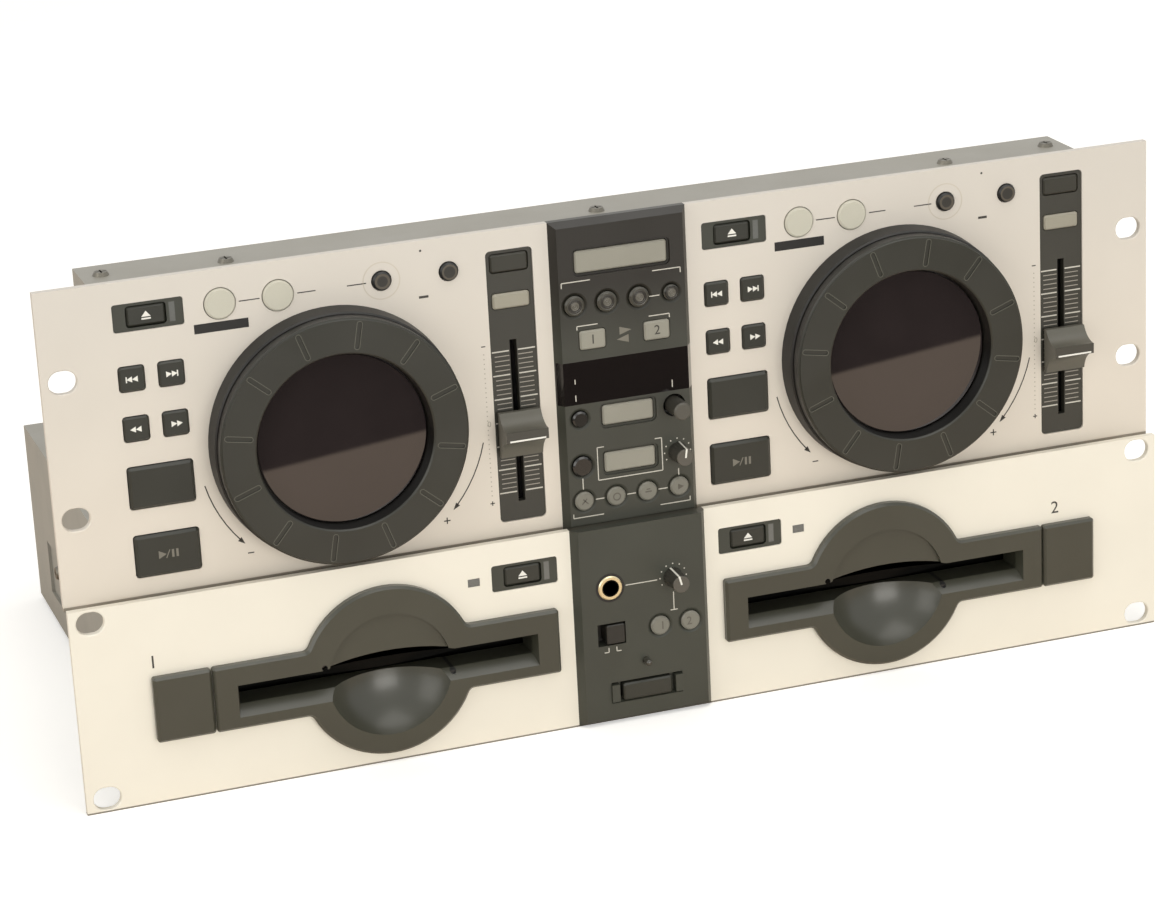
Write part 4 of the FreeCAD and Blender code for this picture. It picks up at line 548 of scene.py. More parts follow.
@dataclass(frozen=True)
class RingedFinish(ZonedFinish):
    """A key's finish with fine turned rings about each of a row of centres.

    Attributes:
        centres: Each centre as (x, z) in millimetres.
        pitch: From one ring to the next, in millimetres.
    """

    centres: tuple[Spot, ...] = ()
    pitch: float = 0.8

    def normal(self, bench: SurfaceBench) -> Socket:
        """Works out the normal: the turned rings about the nearest centre.

        Args:
            bench: The material being made.

        Returns:
            The normal's socket.
        """
        nearest = None
        for x, z in self.centres:
            radius = bench.distance(x, z)
            nearest = radius if nearest is None else bench.math("MINIMUM", nearest, radius)
        turns = bench.math("MULTIPLY", nearest, 2.0 * math.pi / (self.pitch * MM))
        return bench.bump(bench.math("SINE", turns, 0.0), RING_RELIEF)


@dataclass(frozen=True)
class BrushedFinish(ZonedFinish):
    """A metal with fine lines drawn along X.

    Attributes:
        stretch: The scale of the lines' pattern along each axis.
    """

    stretch: Triple = (0.04, 1.0, 1.0)

    def lines(self, bench: SurfaceBench) -> Socket:
        """Works out the drawn lines, as a value from 0 to 1 across them."""
        return bench.noise(self.grain, 4.0, bench.stretched(self.stretch))

    def rough(self, bench: SurfaceBench) -> Socket:
        """Works out the roughness: rougher on some of the lines."""
        return bench.ranged(self.lines(bench), self.roughness * (1.0 - LINE_SWING),
                            self.roughness * (1.0 + LINE_SWING))

    def normal(self, bench: SurfaceBench) -> Socket:
        """Works out the normal: the lines' bump."""
        return bench.bump(self.lines(bench), self.relief)


# places that the finishes' zones share, in millimetres
SLOT_CENTRES = (-111.4, 111.4)
PIN_REACH = 27.6
PIN_Z = 41.45
PIN_STEP = 6.0
PIN_HOLES = tuple((x + side * PIN_REACH, PIN_Z - side * PIN_STEP)
                  for x in SLOT_CENTRES for side in (-1, 1))
JACK_X = -14.5
JACK_Z = 61.5
CONSOLE_SIDE = 29.9
WINDOW_SPLIT = 30.0

# tints that several of them share; SHADED is painted shade in holes, grooves and gaps
SHADED = (26, 26, 25)
KNOB_BODY = (84, 80, 72)
KNOB_SKIRT = (54, 52, 46)
POINTER = (228, 226, 216)
DARK_CAP = (42, 40, 35)
# painted highlight on a round key's rim, and painted shade in its dished heart
CAP_RIM_HIGHLIGHT = (84, 77, 66)
CAP_HEART_SHADE = (46, 44, 39)


def print_ink(name: str, tint: Triple, roughness: float = 0.5, drift: float = 0.03) -> Finish:
    """Makes the finish of a printed mark, with a grain too fine to see.

    Args:
        name: The material's name.
        tint: The display colour.
        roughness: The middle roughness.
        drift: How far the tint drifts, as a share of it.

    Returns:
        The finish.
    """
    return Finish(name, tint, roughness, grain=0.15, relief=0.001, drift=drift)


def panel_paint(name: str, tint: Triple, *zones: Zone) -> ZonedFinish:
    """Makes the satin paint of a front panel, with painted shade where the console lies on it.

    Args:
        name: The material's name.
        tint: The display colour.
        *zones: The zones that the panel has besides.

    Returns:
        The finish.
    """
    # painted shade: the panel is dark where the console lies over it
    console_shade = BoxZone((60, 58, 49), over=((Axis.X, -CONSOLE_SIDE),), under=((Axis.X, CONSOLE_SIDE),))
    return ZonedFinish(name, tint, 0.42, metallic=0.12, grain=0.22, relief=0.003, drift=0.008,
                       zones=(*zones, console_shade))


def knob_finish(name: str, tint: Triple, skirt_y: float, *zones: Zone) -> ZonedFinish:
    """Makes the finish of a knob, darker on its skirt than on its tip.

    Args:
        name: The material's name.
        tint: The display colour.
        skirt_y: Where the skirt begins, along Y, in millimetres.
        *zones: The zones laid over the skirt.

    Returns:
        The finish.
    """
    return ZonedFinish(name, tint, 0.4, zones=(BoxZone(KNOB_SKIRT, over=((Axis.Y, skirt_y),)), *zones))


# painted shade: the desk panel darkens towards its top, and the darker strip along its lower edge is a
# painted shadow in the seam behind the player panel's top edge
DESK_PANEL = panel_paint("satin_desk_panel_paint", (221, 213, 201),
                         FadeZone((211, 205, 196), start=120.0, full=212.0),
                         BoxZone((150, 143, 131), under=((Axis.Z, 87.4),)))
# painted light: the player panel's tint is lighter than the desk panel's to stand for light from the
# table below, and the strip along its lower edge is painted shade on its rounded edge
PLAYER_PANEL = panel_paint("satin_player_panel_paint", (235, 230, 217),
                           BoxZone((128, 122, 111), under=((Axis.Z, 0.7),)))
CASE = Finish("fine_texture_case_paint", (154, 151, 142), 0.5, grain=0.7, relief=0.03, drift=0.01)
MOULDING = Finish("olive_grey_moulding", (58, 60, 52), 0.42, grain=0.3)
# painted reflection: the desk console darkens towards its top
DESK_CONSOLE = ZonedFinish("desk_console_moulding", (58, 59, 51), 0.42, grain=0.3,
                           zones=(FadeZone((34, 31, 25), start=165.0, full=192.0),))
# painted shade in the pin holes beside each slot
BEZEL = ZonedFinish("slot_bezel_moulding", (62, 62, 52), 0.33, grain=0.3, relief=0.004, drift=0.04,
                    coat=0.25, coat_roughness=0.2,
                    zones=tuple(RingZone(SHADED, x=x, z=z, outer=1.3) for x, z in PIN_HOLES))
# painted shade on the wheel's side wall, behind its face
WHEEL = ZonedFinish("jog_wheel_moulding", (45, 45, 38), 0.38, grain=0.4, relief=0.008,
                    zones=(BoxZone((17, 16, 14), over=((Axis.Y, -131.8),)),))
WHEEL_BASE = Finish("jog_base_moulding", (22, 21, 18), 0.5, grain=0.4, relief=0.008)
BED = Finish("fader_bed_moulding", (56, 55, 48), grain=0.3, drift=0.04)
BLACK = Finish("black_plastic", (26, 26, 25), 0.5, grain=0.5, relief=0.01, drift=0.08)
# painted shade on a band across the cap's crest
FADER_CAP = ZonedFinish("fader_cap_moulding", (92, 90, 81), 0.4, drift=0.04,
                        zones=(BoxZone((66, 64, 57), over=((Axis.Z, 131.4),),
                                       under=((Axis.Z, 136.0), (Axis.Y, -129.9))),))
KNOB = knob_finish("knob_moulding", (80, 77, 69), -131.4)
MIX_KNOB = knob_finish("mix_knob_moulding", KNOB_BODY, -130.1,
                       StripeZone(POINTER, x=21.1, z=113.7, turn=8.0))
MONITOR_KNOB = knob_finish("monitor_knob_moulding", KNOB_BODY, -139.4,
                           StripeZone(POINTER, x=13.6, z=61.7, turn=-15.0))
DARK_KEY = Finish("dark_key_moulding", (44, 45, 38), 0.4, grain=0.3, relief=0.005)
GLOSS_KEY = Finish("gloss_dark_key", (28, 27, 24), 0.25, grain=1.2, relief=0.004, coat=0.6,
                   coat_roughness=0.08)
PALE_KEY = Finish("pale_key_moulding", (145, 142, 130), 0.42, grain=0.3, relief=0.005, drift=0.03)
ROUND_KEY = Finish("dull_round_key_moulding", (120, 118, 108), 0.42, grain=0.3, relief=0.005,
                   drift=0.03)
SWITCH = Finish("switch_moulding", (33, 32, 27), 0.42, grain=0.3, relief=0.005)
LENS = ZonedFinish("frosted_lens", (106, 107, 104), 0.25, grain=0.5, relief=0.01, coat=0.4,
                   zones=(BoxZone((62, 60, 52), over=((Axis.X, -WINDOW_SPLIT),),
                                  under=((Axis.X, WINDOW_SPLIT), (Axis.Z, 80.0))),))
# painted shade on the front part of the boards, towards the panels
BOARD = ZonedFinish("coated_board", (24, 58, 38), 0.35, grain=1.6, relief=0.02, drift=0.12, coat=0.5,
                    zones=(BoxZone(SHADED, under=((Axis.Y, -104.0),)),))
GLASS = ZonedFinish("smoked_acrylic", (42, 36, 36), 0.02, grain=14.0, relief=0.004, drift=0.06,
                    coat=1.0, coat_roughness=0.02,
                    zones=(BoxZone((28, 24, 23), over=((Axis.X, -WINDOW_SPLIT),),
                                   under=((Axis.X, WINDOW_SPLIT),)),))
# painted shade in the socket's hole
GILT = BrushedFinish("gilt_ring", (236, 224, 186), 0.3, metallic=1.0, grain=0.25, relief=0.004,
                     drift=0.04, zones=(RingZone(SHADED, x=JACK_X, z=JACK_Z, outer=3.75),))
STEEL = BrushedFinish("plated_steel", (126, 122, 112), metallic=1.0, grain=0.3, relief=0.004)
# painted shade on the front of the drives, seen through the slots
SHEET_METAL = BrushedFinish("drive_sheet_metal", (168, 170, 168), 0.4, metallic=1.0, grain=0.6,
                            relief=0.01, drift=0.08,
                            zones=(BoxZone((24, 24, 23), under=((Axis.Y, -80.0),)),))
DARK_INK = print_ink("dark_print", (58, 55, 50), drift=0.06)
GREY_INK = print_ink("grey_print", (118, 114, 103), drift=0.04)
FAINT_INK = print_ink("faint_print", (200, 192, 178))
PALE_INK = print_ink("pale_print", (200, 196, 185))
DULL_INK = print_ink("dull_print", (88, 84, 75))
# painted highlight on the edges of the jog wheel's grooves
GROOVE_HIGHLIGHT_INK = print_ink("painted_groove_highlight", (90, 89, 79), roughness=0.4)
TICK_INK = print_ink("tick_print", (160, 154, 143))
SCALE_INK = print_ink("scale_print", (172, 164, 149))
WHITE_INK = print_ink("white_print", (232, 230, 222), drift=0.02)
BLACK_INK = print_ink("black_print", (24, 23, 22), roughness=0.45, drift=0.06)


# ------------------------------------------------------------------------------ printed marks
DIAL_DOTS = 9
DIAL_STEP = 30.0
DIAL_DOT_RADIUS = 0.32
FULL_TURN = 360.0
ARC_STEP = 6.0
FEWEST_STEPS = 6
CAPITAL_SHARE = 0.7


@dataclass
class PrintPad:
    """Gathers flat marks on one front face and makes them one thin piece.

    Attributes:
        name: The piece's name.
        ink: The finish of the marks.
        front: Where the face is, along Y, in millimetres.
        x0: The x that the marks' places are counted from.
        z0: The z that they are counted from.
        body: The body that carries the face.
        film: How far the ink stands off the face, in millimetres.
        root: How far its lower side lies inside the face, in millimetres.
        mesh: The marks gathered so far.
    """

    name: str
    ink: Finish
    front: float
    x0: float = 0.0
    z0: float = 0.0
    body: str = ROOT_BODY
    film: float = 0.05
    root: float = 0.03
    mesh: bmesh.types.BMesh = field(default_factory=bmesh.new)

    def _upright(self, x: float, z: float, turn: float = 0.0) -> Matrix:
        """A matrix that stands a flat shape up at a place on the face.

        Args:
            x: Place along the face.
            z: Place up the face.
            turn: Counter-clockwise turn in degrees, as seen from the front.

        Returns:
            The matrix, in metres.
        """
        move = Matrix.Translation(Vector((self.x0 + x, self.front + self.root, self.z0 + z)) * MM)
        stand = Matrix.Rotation(math.radians(90.0), 4, "X")
        spin = Matrix.Rotation(math.radians(turn), 4, "Z")
        return move @ stand @ spin @ Matrix.Scale(MM, 4)

    def bar(self, x: float, z: float, width: float, height: float, turn: float = 0.0) -> None:
        """Adds a straight bar about a middle."""
        shape = Matrix.Diagonal((width, height, 1.0, 1.0))
        bmesh.ops.create_grid(self.mesh, x_segments=1, y_segments=1, size=0.5,
                              matrix=self._upright(x, z, turn) @ shape)

    def line(self, start: Spot, end: Spot, width: float) -> None:
        """Adds a straight line between two places."""
        dx, dz = end[0] - start[0], end[1] - start[1]
        self.bar((start[0] + end[0]) / 2, (start[1] + end[1]) / 2, math.hypot(dx, dz), width,
                 math.degrees(math.atan2(dz, dx)))

    def cross(self, x: float, z: float, reach: float, width: float) -> None:
        """Adds a plus sign, whose lying bar comes first."""
        self.bar(x, z, reach, width)
        self.bar(x, z, width, reach)

    def dot(self, x: float, z: float, radius: float, sides: int = 8) -> None:
        """Adds a round dot."""
        bmesh.ops.create_circle(self.mesh, cap_ends=True, segments=sides, radius=radius,
                                matrix=self._upright(x, z))

    def dial(self, x: float, z: float, radius: float) -> None:
        """Adds the dots of a knob's dial, which run evenly from lower right over to lower left.

        Args:
            x: Middle along the face.
            z: Middle up the face.
            radius: From the middle to the dots.
        """
        for index in range(DIAL_DOTS):
            angle = math.radians((index - 1) * DIAL_STEP)
            self.dot(x + radius * math.cos(angle), z + radius * math.sin(angle), DIAL_DOT_RADIUS)

    def paths(self, paths: Paths, width: float) -> None:
        """Adds lines from point to point along each path.

        Args:
            paths: The paths.
            width: The lines' width.
        """
        for path in paths:
            for start, end in zip(path, path[1:]):
                self.line(start, end, width)

    def arrow(self, x: float, z: float, length: float, width: float, turn: float) -> None:
        """Adds a filled triangle about its middle.

        Args:
            x: Middle along the face.
            z: Middle up the face.
            length: From its base to its point.
            width: The length of its base.
            turn: Which way its point faces, in degrees counter-clockwise from the right.
        """
        # a three-sided circle of radius 1 is 1.5 long and the root of 3 wide
        shape = Matrix.Diagonal((length / 1.5, width / math.sqrt(3.0), 1.0, 1.0))
        bmesh.ops.create_circle(self.mesh, cap_ends=True, segments=3, radius=1.0,
                                matrix=self._upright(x, z, turn) @ shape
                                @ Matrix.Rotation(math.radians(-90.0), 4, "Z"))

    def arc(self, x: float, z: float, radius: float, width: float,
            start: float = 0.0, sweep: float = FULL_TURN) -> None:
        """Adds a ring, or a part of one, by spinning its section.

        Args:
            x: Middle along the face.
            z: Middle up the face.
            radius: The radius of the line's middle.
            width: The line's width.
            start: Where it starts, in degrees counter-clockwise from the right.
            sweep: How far it goes round, counter-clockwise.
        """
        upright = self._upright(x, z, start)
        ends = []
        for reach in (radius - width / 2, radius + width / 2):
            ends.append(self.mesh.verts.new(upright @ Vector((reach, 0.0, 0.0))))
        edge = self.mesh.edges.new(ends)
        bmesh.ops.spin(self.mesh, geom=[*ends, edge], cent=upright.translation,
                       axis=(0.0, -1.0, 0.0), angle=math.radians(sweep),
                       steps=max(FEWEST_STEPS, int(sweep / ARC_STEP)), use_merge=sweep == FULL_TURN)

    def stadium(self, x: float, z: float, length: float, breadth: float, turn: float,
                width: float) -> None:
        """Adds the outline of a bar with round ends.

        Args:
            x: Middle along the face.
            z: Middle up the face.
            length: The whole length inside the outline.
            breadth: The breadth inside the outline.
            turn: Which way it runs, in degrees counter-clockwise from the right.
            width: The outline's width.
        """
        run = Vector((math.cos(math.radians(turn)), math.sin(math.radians(turn))))
        side = Vector((-run.y, run.x))
        middle = Vector((x, z))
        reach, radius = (length - breadth) / 2, (breadth + width) / 2
        for way in (-1, 1):
            edge = middle + side * radius * way
            self.line(tuple(edge - run * reach), tuple(edge + run * reach), width)
            end = middle + run * reach * way
            self.arc(end.x, end.y, radius, width, turn - 90.0 if way > 0 else turn + 90.0, 180.0)

    def numeral(self, text: str, x: float, z: float, height: float) -> None:
        """Adds a plain numeral or sign, centred on a place.

        Args:
            text: The numeral.
            x: Middle along the face.
            z: Middle up the face.
            height: Its height in millimetres.
        """
        curve = bpy.data.curves.new(self.name + "_numeral", "FONT")
        curve.body = text
        curve.align_x = "CENTER"
        curve.align_y = "CENTER"
        curve.size = height / CAPITAL_SHARE
        curve.resolution_u = 3
        holder = placed(curve.name, curve)
        seen = holder.evaluated_get(bpy.context.evaluated_depsgraph_get())
        flat = bpy.data.meshes.new_from_object(seen)
        flat.transform(self._upright(x, z))
        self.mesh.from_mesh(flat)
        bpy.data.objects.remove(holder)
        bpy.data.curves.remove(curve)
        bpy.data.meshes.remove(flat)

    def lay(self) -> None:
        """Gives the gathered marks their thickness and puts them on their body."""
        raised = bmesh.ops.extrude_face_region(self.mesh, geom=self.mesh.faces[:])
        moved = [part for part in raised["geom"] if isinstance(part, bmesh.types.BMVert)]
        bmesh.ops.translate(self.mesh, verts=moved,
                            vec=Vector((0.0, -(self.film + self.root) * MM, 0.0)))
        bmesh.ops.recalc_face_normals(self.mesh, faces=self.mesh.faces[:])
        data = bpy.data.meshes.new(self.name)
        self.mesh.to_mesh(data)
        self.mesh.free()
        piece = placed(self.name, data)
        data.materials.append(self.ink.make())
        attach(piece, self.body)
        LOG.info("%s: %d faces of %s", self.name, len(data.polygons), self.ink.name)


@dataclass
class DeckFace:
    """The marks round one deck on the control panel, and those on its fader bed.

    Attributes:
        number: The deck's number.
        hair: The width of a thin line.
        stroke: The width of a thicker one.
        link_z: The height of the lines between the round keys.
        links: The x that each of those lines runs from and to.
        label: The short bar between the last two round keys, as its x, z, width and height.
        plate: The dark plate under the first round key, as its x, z, width and height.
        upper_dot: The dot above that short bar, as its x, z and radius.
        halo: The pale ring round the reloop key, as its x, z and radius.
        arc_radius: The radius of the two turning arrows.
        arc_sweep: How far each goes round, in degrees.
        arc_ends: Where each starts, where its head is and where that points, in degrees.
        arc_dx: How far right of the deck's centre their middle is.
        head_size: The length and width of their heads.
        jog_z: The height of the jog wheel's middle.
        sign_z: The height of the signs at the turning arrows.
        minus: The x and width of the minus sign there.
        plus: The x and width of the plus sign there.
        scale_dx: The dotted scale's place from the deck's centre.
        scale_low: The lowest mark of the fader's scale.
        scale_high: The highest mark of the fader's scale.
        scale_marks: How many marks the scale has.
        scale_dot: The radius of the dotted scale's dots.
        scale_zero: The 0 at the scale's middle, as its x, z and height.
        sign_gap: From the scale's ends to the minus and the plus sign beyond them.
        sign_reach: The width of that minus sign and of that plus sign.
        bed_dx: The fader bed's middle from the deck's centre.
        bed_front: Where the bed's face is along Y.
        mark_inner: How far from the bed's middle its marks begin.
        long_mark: How far out a long mark ends, and its width.
        short_mark: How far out a short mark ends, and its width.
        long_every: How many marks on from one long mark the next one is.
    """

    number: int
    hair: float = 0.45
    stroke: float = 0.5
    link_z: float = 118.0
    links: tuple[Spot, ...] = ((-35.8, -27.3), (-11.8, -4.3), (8.7, 16.7))
    label: Quad = (40.25, 109.0, 4.0, 1.0)
    plate: Quad = (-43.6, 108.9, 22.2, 3.9)
    upper_dot: Triple = (40.0, 128.3, 0.5)
    halo: Triple = (23.1, 118.2, 7.65)
    arc_radius: float = 60.4
    arc_sweep: float = 27.5
    arc_ends: tuple[Triple, ...] = ((193.5, 221.0, -47.0), (-41.0, -41.0, -132.0))
    arc_dx: float = 2.8
    head_size: Spot = (3.2, 2.2)
    jog_z: float = 57.7
    sign_z: float = 12.3
    minus: Spot = (-39.3, 2.6)
    plus: Spot = (44.0, 2.8)
    scale_dx: float = 63.95
    scale_low: float = 20.0
    scale_high: float = 81.0
    scale_marks: int = 31
    scale_dot: float = 0.28
    scale_zero: Triple = (64.6, 50.9, 2.4)
    sign_gap: float = 3.4
    sign_reach: Spot = (1.8, 1.9)
    bed_dx: float = 77.0
    bed_front: float = -116.95
    mark_inner: float = 1.9
    long_mark: Spot = (9.3, 0.55)
    short_mark: Spot = (8.2, 0.35)
    long_every: int = 5

    def pad(self, kind: str, ink: Finish, front: float = CONTROL_FRONT, dx: float = 0.0) -> PrintPad:
        """Starts a pad on this deck.

        Args:
            kind: What the pad's name ends with.
            ink: The ink of the marks.
            front: Where the face is along Y.
            dx: How far right of the deck's centre the marks' places are counted from.

        Returns:
            The pad.
        """
        return PrintPad(f"deck_{self.number}_{kind}", ink, front, DECK_CENTRES[self.number] + dx,
                        CONTROL_BASE)

    def marks(self) -> list[float]:
        """The heights of the scale's marks."""
        step = (self.scale_high - self.scale_low) / (self.scale_marks - 1)
        return [self.scale_low + index * step for index in range(self.scale_marks)]

    def panel_marks(self) -> None:
        """Prints the lines, arrows and signs on the panel."""
        pad = self.pad("panel_marks", DARK_INK)
        for start, end in self.links:
            pad.line((start, self.link_z), (end, self.link_z), self.hair)
        pad.bar(*self.label)
        pad.dot(*self.upper_dot, sides=10)
        for start, head, heading in self.arc_ends:
            pad.arc(self.arc_dx, self.jog_z, self.arc_radius, self.stroke, start, self.arc_sweep)
            angle = math.radians(head)
            pad.arrow(self.arc_dx + self.arc_radius * math.cos(angle),
                      self.jog_z + self.arc_radius * math.sin(angle), *self.head_size, heading)
        pad.bar(self.minus[0], self.sign_z, self.minus[1], self.stroke)
        pad.cross(self.plus[0], self.sign_z, self.plus[1], self.stroke)
        pad.bar(self.scale_dx, self.scale_high + self.sign_gap, self.sign_reach[0], self.hair)
        pad.cross(self.scale_dx, self.scale_low - self.sign_gap, self.sign_reach[1], self.hair)
        pad.lay()

    def panel_accents(self) -> None:
        """Prints the dotted scale, the dark plate and the pale ring, each in an ink of its own."""
        scale = self.pad("dotted_scale", SCALE_INK)
        for height in self.marks():
            scale.dot(self.scale_dx, height, self.scale_dot)
        scale.numeral("0", *self.scale_zero)
        scale.lay()
        plate = self.pad("adjust_plate", BLACK_INK)
        plate.bar(*self.plate)
        plate.lay()
        ring = self.pad("reloop_halo", FAINT_INK)
        ring.arc(*self.halo, self.stroke)
        ring.lay()

    def bed_marks(self) -> None:
        """Prints the fader's scale on its bed, with some of its marks longer."""
        major = self.pad("fader_scale", PALE_INK, self.bed_front, self.bed_dx)
        minor = self.pad("fader_minor_scale", TICK_INK, self.bed_front, self.bed_dx)
        for index, height in enumerate(self.marks()):
            short = index % self.long_every > 0
            outer, width = self.short_mark if short else self.long_mark
            for side in (-1, 1):
                (minor if short else major).bar(side * (self.mark_inner + outer) / 2, height,
                                                outer - self.mark_inner, width)
        major.lay()
        minor.lay()

    def build(self) -> None:
        """Prints everything on this deck's face."""
        self.panel_marks()
        self.panel_accents()
        self.bed_marks()


@dataclass
class UpperConsoleFace:
    """The pale marks on the upper console, and on the display band across it.

    Attributes:
        front: Where the console's face is, along Y.
        hair: The width of a thin line.
        mode_brackets: The bracket over the play mode keys and the line between two of them.
        deck_brackets: The bracket over the deck select keys.
        time_frame: The frame round the short time key.
        mix_links: The lines that lead to the mix mode keys and join them.
        mix_brackets: The bracket under the mix mode keys.
        band_links: The short lines on the display band.
        knob: Where the mix time knob's axis is, as (x, z).
        dial_radius: From that axis to the dots of its dial.
        arrows: The x, z and heading of the two grey arrows, whose size is arrow_size.
        arrow_size: Their length and width.
    """

    front: float = CONTROL_FRONT - CONSOLE_STEP
    hair: float = 0.4
    mode_brackets: Paths = (((-26.3, 105.2), (-26.3, 107.4), (-13.8, 107.4)),
                            ((13.2, 107.4), (25.5, 107.4), (25.5, 105.2)),
                            ((11.5, 96.7), (16.0, 96.7)))
    deck_brackets: Paths = (((-20.5, 86.7), (-20.5, 88.3), (-11.5, 88.3)),
                            ((10.9, 88.3), (19.9, 88.3), (19.9, 86.7)))
    time_frame: Paths = (((-14.4, 20.8), (-14.4, 35.0), (-11.4, 35.0)),
                         ((-14.4, 20.7), (14.1, 20.7)),
                         ((14.1, 20.8), (14.1, 35.0), (11.1, 35.0)))
    mix_links: Paths = (((-21.3, 17.7), (-21.3, 22.6)), ((21.1, 17.5), (21.1, 20.4)),
                        ((-16.1, 12.6), (-12.3, 12.6)), ((-2.1, 12.6), (1.7, 12.6)),
                        ((11.8, 12.6), (15.9, 12.6)))
    mix_brackets: Paths = (((-26.1, 7.4), (-26.1, 5.6), (-12.8, 5.6)),
                           ((12.4, 5.6), (25.7, 5.6), (25.7, 7.4)))
    band_links: Paths = (((-22.5, 63.8), (-22.5, 65.8)), ((-22.5, 56.3), (-22.5, 59.0)),
                         ((19.9, 56.3), (19.9, 59.5)))
    knob: Spot = (21.0, 27.9)
    dial_radius: float = 5.8
    arrows: tuple[Triple, ...] = ((-0.4, 83.9, 0.0), (0.0, 80.3, 180.0))
    arrow_size: Spot = (5.2, 3.4)

    def build(self) -> None:
        """Prints the lines, the knob's dial, the band's lines and the two grey arrows."""
        pad = PrintPad("upper_console_lines", PALE_INK, self.front, 0.0, CONTROL_BASE)
        for paths in (self.mode_brackets, self.deck_brackets, self.time_frame, self.mix_links,
                      self.mix_brackets):
            pad.paths(paths, self.hair)
        pad.dial(*self.knob, self.dial_radius)
        pad.lay()
        band = PrintPad("display_band_lines", PALE_INK, self.front, 0.0, CONTROL_BASE)
        band.paths(self.band_links, self.hair)
        band.lay()
        arrows = PrintPad("deck_select_arrows", GREY_INK, self.front, 0.0, CONTROL_BASE)
        for x, z, heading in self.arrows:
            arrows.arrow(x, z, *self.arrow_size, heading)
        arrows.lay()


@dataclass
class LowerConsoleFace:
    """The pale marks on the lower console and the numerals on the player's panel.

    Attributes:
        front: Where the console's face is, along Y.
        hair: The width of a thin line.
        links: The lines from the headphone socket, the monitor knob and the output switch.
        knob: Where the monitor knob's axis is, as (x, z).
        dial_radius: From that axis to the dots of its dial.
        recess_shade: The radius and width of the ring of painted shade in the recess round the headphone
            socket.
        numerals: Each deck's numeral, with its x and z.
        numeral_height: The height of the numerals.
    """

    front: float = PLAYER_FRONT - CONSOLE_STEP
    hair: float = 0.4
    links: Paths = (((-7.6, JACK_Z), (6.5, JACK_Z)), ((13.5, 47.2), (13.5, 55.0)),
                    ((11.9, 47.0), (15.1, 47.0)), ((-18.3, 32.8), (-16.3, 32.8), (-16.3, 34.8)),
                    ((-12.8, 34.8), (-12.8, 32.8), (-10.8, 32.8)))
    knob: Spot = (13.7, 61.8)
    dial_radius: float = 5.9
    recess_shade: Spot = (5.8, 1.2)
    numerals: tuple[tuple[str, float, float], ...] = (("1", -208.9, 61.2), ("2", 192.8, 62.0))
    numeral_height: float = 5.5

    def build(self) -> None:
        """Prints the lower console's marks and the two deck numerals."""
        pad = PrintPad("lower_console_lines", PALE_INK, self.front)
        pad.paths(self.links, self.hair)
        pad.dial(*self.knob, self.dial_radius)
        pad.lay()
        # painted shade in the recess round the headphone socket
        ring = PrintPad("jack_painted_shade", BLACK_INK, self.front)
        ring.arc(JACK_X, JACK_Z, *self.recess_shade)
        ring.lay()
        letters = PrintPad("player_deck_numerals", DARK_INK, PLAYER_FRONT)
        for text, x, z in self.numerals:
            letters.numeral(text, x, z, self.numeral_height)
        letters.lay()


def pad_on(node: str, kind: str, ink: Finish, front: float | None = None) -> PrintPad:
    """Starts a pad on a moving piece, with its places counted from the piece's middle.

    Args:
        node: The piece's node, which is also its body.
        kind: What the pad's name ends with.
        ink: The ink of the marks.
        front: Where the face is along Y, if it isn't the piece's very front.

    Returns:
        The pad.
    """
    low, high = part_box(node)
    return PrintPad(f"{node}_{kind}", ink, low.y / MM if front is None else front,
                    (low.x + high.x) / 2 / MM, (low.z + high.z) / 2 / MM, node)


